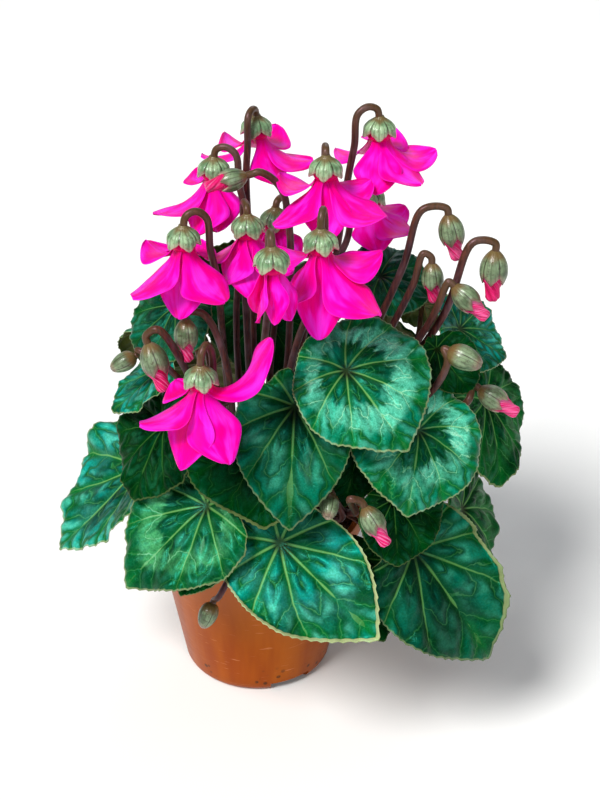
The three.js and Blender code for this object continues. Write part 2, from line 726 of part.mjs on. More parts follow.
function stemSolid(flower) {
  const [x, y, z] = flower.at;
  const [archAzimuth, archWidth] = flower.arch;
  const archX = archWidth * Math.cos(archAzimuth * DEGREE);
  const archY = archWidth * Math.sin(archAzimuth * DEGREE);
  const { point, normal } = flower.root;
  const points = [
    V(x, y, z + CALYX_HEIGHT * 0.5),
    V(x + archX * 0.12, y + archY * 0.12, z + CALYX_HEIGHT + flower.rise * 0.65),
    V(x + archX * 0.5, y + archY * 0.5, z + CALYX_HEIGHT + flower.rise),
    V(x + archX * 0.9, y + archY * 0.9, z + CALYX_HEIGHT + flower.rise * 0.3),
    V(x + archX, y + archY, z - 6),
    V(x + archX * 1.2, y + archY * 1.2, z - 20),
    V(...flower.via),
    point.clone().addScaledVector(normal, 12),
    point,
  ];
  return tube(points, FLOWER_STEM_RADIUS, 12, STEM_SIDES);
}

function budSolid(bud) {
  const tip = V(...bud.hang).normalize();
  const top = V(...bud.at);
  const turn = new THREE.Quaternion().setFromUnitVectors(V(0, 0, -1), tip);
  const body = new THREE.LatheGeometry([
    [0, -14],
    [3.9, -6],
    [5.4, 0],
    [4.4, 5],
    [0, 9],
  ].map(([r, z]) => new THREE.Vector2(r, z)), 6).rotateX(Math.PI / 2);
  body.scale(bud.size, bud.size, bud.size).applyQuaternion(turn).translate(top.x, top.y, top.z);
  return solidOf(body);
}

// The stems of a group grow from a small crown that sits on the tuber
function budGroupSolid(group) {
  const { point, normal } = group.root;
  const turn = new THREE.Quaternion().setFromUnitVectors(V(0, 0, 1), normal);
  const crown = new THREE.LatheGeometry([
    [0, 0],
    [CROWN_RADIUS, 0],
    [CROWN_RADIUS * 0.6, CROWN_HEIGHT * 0.8],
    [0, CROWN_HEIGHT],
  ].map(([r, z]) => new THREE.Vector2(r, z)), 8).rotateX(Math.PI / 2);
  crown.applyQuaternion(turn).translate(point.x, point.y, point.z);
  const count = group.buds.length;
  const solids = group.buds.flatMap((bud, i) => {
    const tip = V(...bud.hang).normalize();
    const neck = V(...bud.at).addScaledVector(tip, -6 * bud.size);
    const above = V(...bud.at).addScaledVector(tip, -11 * bud.size);
    const angle = group.azimuth * DEGREE + Math.PI * (1 - (2 * (i + 0.5)) / count);
    const foot = V(Math.cos(angle), Math.sin(angle), 0)
      .multiplyScalar(count > 1 ? CROWN_RADIUS * 0.55 : 0)
      .applyQuaternion(turn)
      .add(point)
      .addScaledVector(normal, count > 1 ? CROWN_HEIGHT * 0.3 : 0);
    const points = [neck, above, ...bud.stem.map((place) => V(...place))];
    points.push(foot.clone().addScaledVector(normal, 8), foot);
    return [budSolid(bud), tube(points, BUD_STEM_RADIUS * (0.7 + 0.3 * bud.size), 8, THIN_SIDES)];
  });
  return join(count > 1 ? [solidOf(crown), ...solids] : solids);
}

// The plant, from the inside out
const pot = potSolid();
const soil = soilSolid();
const tuber = solidOf(tuberGeometry(0));

const plant = new THREE.Group();
const container = new THREE.Group();
const group = new THREE.Group();
group.add(container, plant);

function addMesh(parent, name, solid, material) {
  const mesh = new THREE.Mesh(geometryOf(solid), material);
  mesh.name = name;
  parent.add(mesh);
  return mesh;
}

addMesh(container, 'pot', pot, PLASTIC);
addMesh(container, 'soil', soil, SOIL);
addMesh(plant, 'tuber', tuber, TUBER);

const placed = [pot, soil, tuber];

// Where every stem stands on the tuber: flowers in the middle, then high leaves, then low ones
function leafRing(height) {
  if (height > 205) return 2;
  return height > 162 ? 3 : 4;
}

for (const flower of FLOWERS) {
  flower.azimuth = Math.atan2(flower.via[1], flower.via[0]) / DEGREE;
  flower.girth = FLOWER_STEM_RADIUS;
}
for (const budGroup of BUD_GROUPS) {
  budGroup.girth = budGroup.buds.length > 1 ? CROWN_RADIUS : BUD_STEM_RADIUS;
}
for (const leaf of LEAVES) {
  leaf.azimuth = Math.atan2(leaf.at[1], leaf.at[0]) / DEGREE;
  leaf.girth = PETIOLE_RADIUS;
  leaf.ring ??= leafRing(leaf.at[2]);
}
ROOT_RINGS.forEach((radius, ring) => {
  spreadRoots([...FLOWERS, ...BUD_GROUPS, ...LEAVES].filter((stem) => stem.ring === ring), radius);
});

const flowerDraw = draws(911);
for (const flower of FLOWERS) {
  const calyx = calyxSolid().translate(flower.at);
  const stem = stemSolid(flower).add(calyx);
  const corolla = corollaSolid(flower, flowerDraw).translate(flower.at);
  placed.push(stem, corolla);
  addMesh(plant, `${flower.name}_stem`, stem, STEM);
  addMesh(plant, `${flower.name}_petals`, corolla, PETAL);
}

// Leaves settle from the lowest to the highest, and each then lies over those below it
const leafDraw = draws(2711);
for (const leaf of LEAVES) {
  leaf.gap = leafDraw(0.04, 0.12);
  leaf.waves = Math.round(leafDraw(4, 6));
  leaf.phase = leafDraw(0, 2 * Math.PI);
}
for (const leaf of [...LEAVES].sort((a, b) => a.at[2] - b.at[2])) {
  const solid = settleLeaf(leaf, placed);
  placed.push(solid);
  addMesh(plant, leaf.name, solid, LEAF).userData.slide = leaf.slide;
}

for (const budGroup of BUD_GROUPS) {
  const solid = budGroupSolid(budGroup);
  addMesh(plant, budGroup.name, solid, STEM);
}

export default group;
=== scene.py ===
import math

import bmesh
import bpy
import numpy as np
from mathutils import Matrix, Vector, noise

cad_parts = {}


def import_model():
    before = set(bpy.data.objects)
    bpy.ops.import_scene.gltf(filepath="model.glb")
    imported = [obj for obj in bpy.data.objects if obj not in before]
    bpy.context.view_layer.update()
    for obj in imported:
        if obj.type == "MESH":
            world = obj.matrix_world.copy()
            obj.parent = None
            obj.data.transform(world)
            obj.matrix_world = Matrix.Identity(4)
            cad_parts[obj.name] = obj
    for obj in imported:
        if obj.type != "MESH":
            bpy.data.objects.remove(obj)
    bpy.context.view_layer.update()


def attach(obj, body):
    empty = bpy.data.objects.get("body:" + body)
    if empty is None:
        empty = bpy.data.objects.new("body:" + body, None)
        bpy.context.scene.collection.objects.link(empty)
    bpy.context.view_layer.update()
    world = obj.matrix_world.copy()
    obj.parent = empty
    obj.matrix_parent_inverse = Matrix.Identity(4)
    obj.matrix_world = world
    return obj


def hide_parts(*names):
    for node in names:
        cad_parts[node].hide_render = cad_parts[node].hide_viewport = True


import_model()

# %% [markdown]
# A potted cyclamen
#
# The plant is built around its CAD frame: a plastic pot of soil, a tuber, marbled leaves on
# petioles, nodding flowers and hooked buds. Each CAD node gives way to one finer piece that keeps
# its form. Sizes are in millimetres until a mesh is made, and then in metres.

MM = 0.001
DEGREE = math.pi / 180
TURN = 2 * math.pi

POT_HEIGHT = 105
POT_BASE_RADIUS = 42.5
POT_TOP_RADIUS = 60
POT_RIM_RADIUS = 62
POT_RIM_HEIGHT = 9
POT_WALL = 1.6
POT_FLOOR = 2
POT_CORNER = 4
NOTCH_ANGLES = (28, 148, 268)
NOTCH_SPREAD = 33
NOTCH_HEIGHT = 5.5
NOTCH_DEPTH = 8

SOIL_TOP = 92
TUBER_RADIUS = 30
TUBER_HALF_HEIGHT = 14
TUBER_CENTRE = 90

FLOWER_STEM_RADIUS = 1.9
BUD_STEM_RADIUS = 1.9
PETIOLE_RADIUS = 1.5
BLADE_THICKNESS = 1.0
PETAL_THICKNESS = 0.8
PETAL_WIDTH = 25
STEM_BERTH = 62
PETAL_PIN = 8
THROAT_RADIUS = 6
THROAT_HEIGHT = 4
CALYX_RADIUS = 8
CALYX_HEIGHT = 8
SEPAL_DROP = 3
CROWN_RADIUS = 3.4
CROWN_HEIGHT = 4

# %% [markdown]
# Each leaf has a place at the top of its petiole, the way its upper side faces, its size and its
# skin, and a few numbers for its form. They could be measured on the solids, but a solid doesn't
# tell its turns and folds, so these are the same layout values as in the part's source, and every
# blade lies where its solid lies.


# %% The layout of the leaves
def leaf_row(number, at, face, size, skin, **form):
    """at: top of the petiole. face: azimuth and elevation of the upper side, in degrees."""
    return {"name": f"leaf_{number:02d}", "at": at, "face": face, "size": size, "skin": skin, **form}


LEAVES = [
    leaf_row(1, (48, -76, 235), (-85, 54), 50, "marbled", spin=32, cup=-0.12, point=0.18,
             wide=(1.08, 0.88), lobes=(0.85, 0.8), notch=0.1),
    leaf_row(2, (85, -76, 200), (-70, 35), 44, "marbled", spin=-20, cup=-0.05, point=0.18,
             wide=(1.1, 1.1)),
    leaf_row(3, (23, -72, 211), (-95, 32), 62, "deep", fold=0.15, point=0.28, wide=(0.74, 0.74),
             lobes=(0.6, 0.6)),
    leaf_row(4, (9, -66, 187), (-99, 34), 46, "dark", spin=6, cup=0.05, point=0.16,
             wide=(1.2, 1.2), lobes=(0.3, 0.5), curl=(0, 60)),
    leaf_row(5, (15, -87, 139), (-94, 36), 73, "teal", spin=48, fold=0.1, point=0.28,
             wide=(0.58, 0.78), lobes=(1, 0.95), curl=(0, 150)),
    leaf_row(6, (86, -84, 132), (-64, 30), 75, "deep", spin=24, fold=0.1, point=0.26,
             lobes=(0.9, 0.55), wide=(0.64, 0.78), bow=0.16, curl=(60, 70)),
    leaf_row(7, (-24, -76, 155), (-122, 40), 62, "veined", spin=-28, point=0.28, wide=(0.95, 0.9),
             lobes=(0.6, 0.65)),
    leaf_row(8, (-64, -18, 141), (-160, 45), 64, "teal", spin=4, cup=0.08, fold=0.2),
    leaf_row(9, (-46, -49, 186), (-140, 38), 42, "dark", spin=6, cup=-0.08, point=0.16,
             lobes=(0.7, 0.7)),
    leaf_row(10, (57, -61, 186), (-84, 34), 37, "dark", spin=-18, cup=-0.05, wide=(0.6, 1.1),
             lobes=(0.3, 0.3)),
    leaf_row(11, (-48, -27, 208), (-160, 48), 34, "teal", spin=4, cup=0.1, point=0.16,
             wide=(0.8, 0.75), lobes=(0.7, 0.6)),
    leaf_row(12, (-36, -8, 232), (-138, 42), 38, "deep", spin=6, cup=-0.06, point=0.16,
             lobes=(0.8, 0.8)),
    leaf_row(13, (-10, 42, 224), (100, 38), 42, "dark", spin=6, lift=0.3, lobes=(0.7, 0.7)),
    leaf_row(15, (67, 6, 243), (-60, 60), 32, "deep", spin=60, cup=-0.1, point=0.16),
    leaf_row(16, (89, 10, 216), (70, 34), 36, "teal", lift=0.3, wide=(0.9, 0.9), lobes=(0.8, 0.8)),
    leaf_row(17, (112, 0, 217), (-35, 42), 32, "teal", spin=30, cup=0.08, point=0.16),
    leaf_row(18, (95, -43, 228), (-55, 45), 28, "dark", spin=10, cup=0.15, point=0.12,
             wide=(0.9, 0.9), lobes=(0.4, 0.4), bow=-0.04),
    leaf_row(19, (4, 27, 214), (-92, 10), 42, "dark", point=0.16, wide=(1, 1), lobes=(0.8, 0.8)),
    leaf_row(20, (127, -12, 179), (-34, 30), 48, "fresh", spin=-16, cup=-0.08, point=0.18),
    leaf_row(21, (118, -26, 118), (-20, 24), 54, "fresh", spin=-10),
    leaf_row(22, (73, -82, 162), (-70, 32), 34, "dark", spin=-8, cup=0.05, point=0.12,
             wide=(1, 0.7), lobes=(0.7, 0.5)),
    leaf_row(23, (54, -75, 120), (-78, 36), 46, "dark", spin=12, wide=(0.75, 0.95),
             lobes=(0.5, 0.6)),
    leaf_row(24, (-26, -62, 114), (-112, 48), 26, "fresh", spin=-10, cup=0.1, bow=0.2),
    leaf_row(25, (-44, 48, 204), (132, 40), 54, "marbled", spin=6, cup=-0.08),
    leaf_row(26, (22, 66, 212), (88, 38), 56, "deep", spin=-8, cup=-0.06),
    leaf_row(27, (77, 47, 194), (42, 34), 54, "veined", spin=8, cup=-0.08, lobes=(0.7, 0.7)),
    leaf_row(28, (-60, 46, 138), (144, 30), 56, "deep", droop=0.15),
    leaf_row(29, (-28, 84, 150), (108, 30), 58, "veined", spin=-8, droop=0.15),
    leaf_row(30, (42, 86, 142), (66, 28), 60, "deep", spin=6, droop=0.2),
    leaf_row(31, (102, 50, 136), (25, 28), 58, "veined", droop=0.15),
]
print(len(LEAVES), "leaves")

# %% [markdown]
# A flower hangs from a hooked stem with its five petals spread out. Buds hang the same way, and
# several of them grow from one crown, so they are laid out in groups. These rows too are the
# layout of the solids.


# %% The layout of the flowers and buds
def flower_row(number, at, arch, rise, via, petals, **form):
    """at: top of the corolla. arch: azimuth and width of the hook. petals: spread and length of
    each, and for some a nudge round the throat and how fast they bend."""
    return {"name": f"flower_{number:02d}", "at": at, "arch": arch, "rise": rise, "via": via,
            "petals": petals, **form}


def bud_row(at, hang, size, *stem, green=False):
    """hang: the way the bud points. stem: places that its stem passes on the way down."""
    return {"at": at, "hang": hang, "size": size, "stem": stem, "green": green}


FLOWERS = [
    flower_row(1, (3, 34, 315), (-114, 11), 4, (0, 14, 226),
               ((30, 30, 14), (58, 34), (80, 28), (72, 34), (66, 32))),
    flower_row(2, (65, 4, 325), (197, 13), 5, (38, -8, 226),
               ((30, 29, 5), (52, 33), (68, 34), (80, 28), (60, 33))),
    flower_row(3, (-18, 4, 304), (-13, 13), 5, (-8, -4, 226),
               ((38, 24), (78, 28), (64, 38, 40), (34, 31, 22), (26, 28, -8))),
    flower_row(4, (38, -26, 316), (92, 10), 2, (28, -16, 226),
               ((80, 28), (54, 36, 2), (26, 31), (66, 39, -6), (70, 28))),
    flower_row(5, (-30, -52, 291), (18, 13), 6, (-14, -28, 224),
               ((70, 28), (76, 29), (56, 36, 22), (18, 35, 4), (54, 36, -4))),
    flower_row(6, (0, -34, 289), (102, 12), 3, (-2, -18, 226),
               ((50, 26, 4), (24, 26), (26, 32), (50, 28), (38, 25))),
    flower_row(7, (35, -74, 299), (78, 10), 7, (24, -38, 228),
               ((74, 28), (30, 32, 4), (14, 42, 10), (56, 43), (80, 34))),
    flower_row(8, (-21, -95, 239), (61, 11), 8, (-3, -52, 206),
               ((66, 27), (62, 35, 22), (24, 41), (38, 39), (84, 47, 0, 4)), width=27),
    flower_row(9, (62, 24, 280), (214, 12), 3, (34, 8, 230),
               ((26, 25, 14), (60, 27), (70, 26), (66, 24), (52, 25, -8))),
    flower_row(10, (13, -100, 302), (98, 10), 4, (7, -52, 226),
               ((9, 25), (11, 26), (8, 26), (12, 26), (9, 25)), width=15, pin=34),
    flower_row(11, (13, 0, 278), (60, 11), 3, (13, 2, 228),
               ((26, 22), (20, 23), (18, 24), (20, 23), (26, 22)), width=16, pin=34),
]

BUD_GROUPS = [
    {"name": "buds_right", "azimuth": -24, "buds": [
        bud_row((101, -20, 281), (0.25, -0.1, -1), 1.15, (86, -20, 293), (77, -22, 262)),
        bud_row((92, -27, 259), (0.1, -0.1, -1), 1, (87, -26, 272), (82, -28, 255)),
        bud_row((122, -30, 265), (0, -0.1, -1), 1.25, (111, -30, 280), (97, -34, 240)),
        bud_row((108, -40, 254), (0.8, -0.3, -0.7), 1.1, (98, -37, 260), (91, -37, 240)),
        bud_row((123, -56, 206), (0.9, -0.3, -0.5), 1.1, (110, -59, 207), (103, -54, 196)),
        bud_row((105, -72, 238), (0.8, -0.4, -0.2), 1, (97, -70, 236), (91, -65, 216), green=True),
    ]},
    {"name": "buds_front", "azimuth": -76, "buds": [
        bud_row((61, -108, 167), (0.5, -0.3, -0.8), 1.05, (50, -106, 179), (53, -90, 160),
                (48, -70, 146)),
        bud_row((40, -92, 165), (-0.1, -0.9, -0.4), 0.8, (42, -84, 166), (47, -75, 146),
                green=True),
        bud_row((-24, -73, 81), (-0.4, -0.3, -0.9), 0.85, (-18, -73, 93), (-8, -66, 110),
                green=True),
    ]},
    {"name": "buds_left", "azimuth": -122, "buds": [
        bud_row((-45, -70, 235), (0.3, -0.2, -1), 1.2, (-43, -69, 252), (-32, -62, 229)),
        bud_row((-30, -60, 244), (0, -0.1, -1), 1.05, (-22, -58, 255), (-12, -55, 230)),
    ]},
    {"name": "buds_side", "azimuth": -128, "buds": [
        bud_row((-64, -42, 219), (-0.8, -0.2, -0.4), 0.8, (-56, -44, 227), (-44, -48, 222),
                (-30, -44, 200), green=True),
    ]},
    {"name": "buds_top", "azimuth": -42, "buds": [
        bud_row((-8, -26, 311), (-0.9, -0.2, -0.2), 1, (6, -23, 314), (17, -17, 301),
                (20, -22, 226)),
    ]},
]
print(len(FLOWERS), "flowers,", len(BUD_GROUPS), "groups of buds")


# %% [markdown]
# A seeded draw gives every leaf and petal its own small differences, and the same ones on each
# run. Python's own random numbers could do that too, but this short recipe is the same as in the
# part's source, so both make the same leaf.


# %% Small helpers
DRAW_FACTOR = 16807
DRAW_LIMIT = 2147483647


def draws(seed):
    state = [seed]

    def draw(low, high):
        state[0] = (state[0] * DRAW_FACTOR) % DRAW_LIMIT
        return low + (high - low) * (state[0] / DRAW_LIMIT)

    return draw


def smoothstep(low, high, value):
    t = min(1.0, max(0.0, (value - low) / (high - low)))
    return t * t * (3 - 2 * t)


def polar(radius, angle, height=0.0):
    return Vector((radius * math.cos(angle), radius * math.sin(angle), height))


def new_object(name, data):
    thing = bpy.data.objects.new(name, data)
    bpy.context.collection.objects.link(thing)
    return thing


def node_points(name):
    """The corners of a CAD node in millimetres, each once."""
    mesh = bpy.data.objects[name].data
    places = {tuple(round(c / MM, 3) for c in vertex.co) for vertex in mesh.vertices}
    return [Vector(place) for place in sorted(places)]


def foot_of(name, corners):
    """The middle of the end that a stem stands on: its corners lie nearest the tuber."""
    def depth(p):
        rise = (p.z - TUBER_CENTRE) / TUBER_HALF_HEIGHT
        return math.hypot(p.x / TUBER_RADIUS, p.y / TUBER_RADIUS, rise)
    near = sorted(node_points(name), key=depth)[:corners]
    return sum(near, Vector()) / len(near)


def tuber_normal(point):
    return Vector((
        point.x / TUBER_RADIUS ** 2,
        point.y / TUBER_RADIUS ** 2,
        (point.z - TUBER_CENTRE) / TUBER_HALF_HEIGHT ** 2,
    )).normalized()


# %% [markdown]
# Stems are smooth curves through a few places. Each could be drawn with Bezier handles, but a
# centripetal spline needs only the places and passes through each without loops. The solids use
# it too.


# %% A spline through given places
def spline(points, steps):
    """Places along a centripetal spline, spread evenly over its spans."""
    spans = len(points) - 1
    places = []
    for i in range(steps + 1):
        at = i / steps * spans
        span = min(int(at), spans - 1)
        t = at - span
        p1, p2 = points[span], points[span + 1]
        p0 = points[span - 1] if span > 0 else p1 * 2 - p2
        p3 = points[span + 2] if span + 2 <= spans else p2 * 2 - p1
        d0, d1, d2 = (max(1e-4, (b - a).length ** 0.5) for a, b in ((p0, p1), (p1, p2), (p2, p3)))
        m1 = ((p1 - p0) / d0 - (p2 - p0) / (d0 + d1) + (p2 - p1) / d1) * d1
        m2 = ((p2 - p1) / d1 - (p3 - p1) / (d1 + d2) + (p3 - p2) / d2) * d1
        a = 2 * t ** 3 - 3 * t ** 2 + 1
        b = t ** 3 - 2 * t ** 2 + t
        c = -2 * t ** 3 + 3 * t ** 2
        d = t ** 3 - t ** 2
        places.append(p1 * a + m1 * b + p2 * c + m2 * d)
    return places


# %% [markdown]
# Every material is built from nodes. A small wrapper keeps each graph readable: it adds a node,
# sets its inputs and wires links in one call. A finish is a base colour with coats over it, and
# each coat has a mask, a strength and a colour, as when paint is laid on in thin layers.


# %% A wrapper for nodes
class Graph:
    def __init__(self, tree):
        self.tree = tree

    def add(self, kind, inputs=None, out=0, **settings):
        node = self.tree.nodes.new(kind)
        for key, value in settings.items():
            setattr(node, key, value)
        for key, value in (inputs or {}).items():
            socket = node.inputs[key]
            if isinstance(value, bpy.types.NodeSocket):
                self.tree.links.new(value, socket)
            else:
                socket.default_value = value
        return node.outputs[out] if out is not None else node

    def math(self, operation, a, b=0.0, c=None):
        inputs = {0: a, 1: b}
        if c is not None:
            inputs[2] = c
        return self.add("ShaderNodeMath", inputs, operation=operation)

    def times(self, a, b):
        return self.math("MULTIPLY", a, b)

    def times_plus(self, a, b, c):
        return self.math("MULTIPLY_ADD", a, b, c)

    def step(self, value, low, high):
        """0 below low, 1 above high, smooth between."""
        return self.add("ShaderNodeMapRange", {0: value, 1: low, 2: high, 3: 0.0, 4: 1.0},
                        interpolation_type="SMOOTHSTEP")

    def weighted(self, first, *others):
        """The sum of patterns, each times its own weight."""
        total = self.times(*first)
        for pattern, weight in others:
            total = self.times_plus(pattern, weight, total)
        return total

    def mix(self, factor, a, b, blend="MIX"):
        return self.add("ShaderNodeMix", {0: factor, 6: a, 7: b}, out=2, data_type="RGBA",
                        blend_type=blend)

    def coats(self, colour, *coats):
        """Lays coats over a colour, one after another: a mask, a strength and a colour each."""
        for mask, strength, coat, *blend in coats:
            colour = self.mix(self.times(mask, strength), colour, coat, *blend)
        return colour

    def noise(self, vector, scale, detail=3.0, w=None, rough=0.55):
        inputs = {"Vector": vector, "Scale": scale, "Detail": detail, "Roughness": rough}
        if w is None:
            return self.add("ShaderNodeTexNoise", inputs)
        inputs["W"] = w
        return self.add("ShaderNodeTexNoise", inputs, noise_dimensions="4D")

    def cracks(self, vector, scale):
        """Distance to the nearest edge of a net of cells."""
        return self.add("ShaderNodeTexVoronoi", {"Vector": vector, "Scale": scale},
                        feature="DISTANCE_TO_EDGE")

    def object_place(self):
        return self.add("ShaderNodeTexCoord", out=3)

    def stretched(self, vector, scale):
        return self.add("ShaderNodeMapping", {"Vector": vector, "Scale": scale})

    def axes(self, vector):
        return self.add("ShaderNodeSeparateXYZ", {0: vector}, out=None).outputs

    def attribute(self, name):
        return self.add("ShaderNodeAttribute", out=2, attribute_name=name)

    def ramp(self, value, stops):
        """A grey ramp through pairs of a place and a brightness."""
        node = self.add("ShaderNodeValToRGB", {0: value}, out=None)
        ramp = node.color_ramp
        while len(ramp.elements) < len(stops):
            ramp.elements.new(0.5)
        for element, (place, grey) in zip(ramp.elements, stops):
            element.position = place
            element.color = (grey, grey, grey, 1)
        return node.outputs[0]


def rgb(red, green, blue):
    """A colour as it looks on a screen, 0 to 255, turned into the values that light uses."""
    parts = []
    for part in (red, green, blue):
        share = part / 255
        parts.append(share / 12.92 if share <= 0.04045 else ((share + 0.055) / 1.055) ** 2.4)
    return (*parts, 1)


def new_group(name, kind, inputs, outputs):
    """A node group with named sockets, its graph, and its input and output nodes."""
    tree = bpy.data.node_groups.new(name, kind)
    for label, socket_kind, value in inputs:
        socket = tree.interface.new_socket(label, in_out="INPUT", socket_type=f"NodeSocket{socket_kind}")
        if value is not None:
            socket.default_value = value
    for label, socket_kind in outputs:
        tree.interface.new_socket(label, in_out="OUTPUT", socket_type=f"NodeSocket{socket_kind}")
    graph = Graph(tree)
    group_in = graph.add("NodeGroupInput", out=None).outputs
    return tree, graph, group_in, graph.add("NodeGroupOutput", out=None)


def put_out(tree, group_out, values):
    for label, value in values.items():
        tree.links.new(value, group_out.inputs[label])


def new_material(name):
    material = bpy.data.materials.new(name)
    material.use_nodes = True
    return material, Graph(material.node_tree)


def finish_material(g, colour, rough, height, bump, constants):
    """Wires the patterns to the shader. bump: its strength and depth. The constants are the same
    all over the surface, so they stay on the shader's own sockets."""
    shader = g.tree.nodes["Principled BSDF"]
    strength, depth = bump
    normal = g.add("ShaderNodeBump", {"Strength": strength, "Distance": depth, "Height": height})
    for label, value in (("Base Color", colour), ("Roughness", rough), ("Normal", normal)):
        g.tree.links.new(value, shader.inputs[label])
    for label, value in constants.items():
        shader.inputs[label].default_value = value


# %% [markdown]
# The veins of a leaf fan out from the petiole and lean towards the tip, and finer ones leave them
# like the barbs of a feather. Both come from one idea: the angle round the petiole, turned into
# the distance to the nearest main vein. A painted picture could show them for one leaf, while
# this pattern fits all of them. The UV map holds the leaf's own plane, so the pattern follows the
# blade wherever it bends.

# %% Angles of the main veins
VEIN_TURNS = (0.0, 0.19, 0.40, 0.62, 0.84)
VEIN_LEAN = 0.16
SIDE_VEIN_GAP = 0.19
SIDE_VEIN_SLANT = 1.15


def vein_stops():
    """Share of a half turn, and the share of a half turn to the nearest main vein."""
    stops = []
    for here, ahead in zip(VEIN_TURNS, (*VEIN_TURNS[1:], 1.1)):
        stops.append((here, 0.0))
        middle = min(1.0, (here + ahead) / 2)
        stops.append((middle, middle - here))
    return stops


def blade_plane(graph):
    """The leaf's own plane: the petiole at the origin, the tip towards +X and about 1 away."""
    uv = graph.add("ShaderNodeUVMap", uv_map="blade")
    return graph.add("ShaderNodeVectorMath", {0: uv, 1: (2, 2, 2), 2: (-1, -1, 0)},
                     operation="MULTIPLY_ADD")


# %% Shader group: leaf veins
VEIN_MASKS = ("Main", "Side", "Hollow", "Near", "Stroke")
VEINS, g, _, group_out = new_group("leaf veins", "ShaderNodeTree", [],
                                   [(label, "Float") for label in VEIN_MASKS])
plane = blade_plane(g)
seed = g.attribute("leaf_seed")
wobble = g.math("SUBTRACT", g.noise(plane, 4.0, 2.0, w=seed), 0.5)
shiver = g.math("SUBTRACT", g.noise(plane, 11.0, 2.0, w=seed), 0.5)
x, y, _ = g.axes(plane)
reach = g.add("ShaderNodeVectorMath", {0: plane}, out=1, operation="LENGTH")
turn = g.math("DIVIDE", g.math("ABSOLUTE", g.math("ARCTAN2", y, x)), math.pi)
turn = g.math("ADD", turn, g.times(g.times(reach, turn), VEIN_LEAN))
turn = g.times_plus(g.times(wobble, reach), 0.10, turn)
away = g.times(g.times(g.ramp(turn, vein_stops()), math.pi), reach)
width = g.math("MAXIMUM", g.times_plus(reach, -0.0095, 0.0105), 0.0014)
main = g.math("SUBTRACT", 1.0, g.step(g.math("DIVIDE", away, width), 0.4, 1.5))
main = g.times(main, g.step(reach, 1.05, 0.35))
slanted = g.times_plus(away, -SIDE_VEIN_SLANT, reach)
slanted = g.times_plus(wobble, 0.34, slanted)
slanted = g.times_plus(shiver, 0.12, slanted)
cycle = g.math("PINGPONG", g.math("DIVIDE", slanted, SIDE_VEIN_GAP), 0.5)
side = g.math("SUBTRACT", 1.0, g.step(cycle, 0.01, 0.05))
side = g.times(side, g.step(reach, 0.12, 0.26))
hollow = g.times(g.step(cycle, 0.02, 0.42), g.step(away, 0.0, 0.09))
near = g.math("MAXIMUM", g.step(away, 0.075, 0.0), g.times(g.step(cycle, 0.2, 0.0), 0.6))
half = g.times(g.math("SIGN", y), 7.0)
fan = g.add("ShaderNodeCombineXYZ", {0: g.times(turn, 15.0), 1: g.times(reach, 3.2), 2: half})
stroke = g.noise(fan, 1.0, 3.0, w=seed, rough=0.6)
put_out(VEINS, group_out, dict(zip(VEIN_MASKS, (main, side, hollow, near, stroke))))
print("leaf vein group:", len(VEINS.nodes), "nodes")
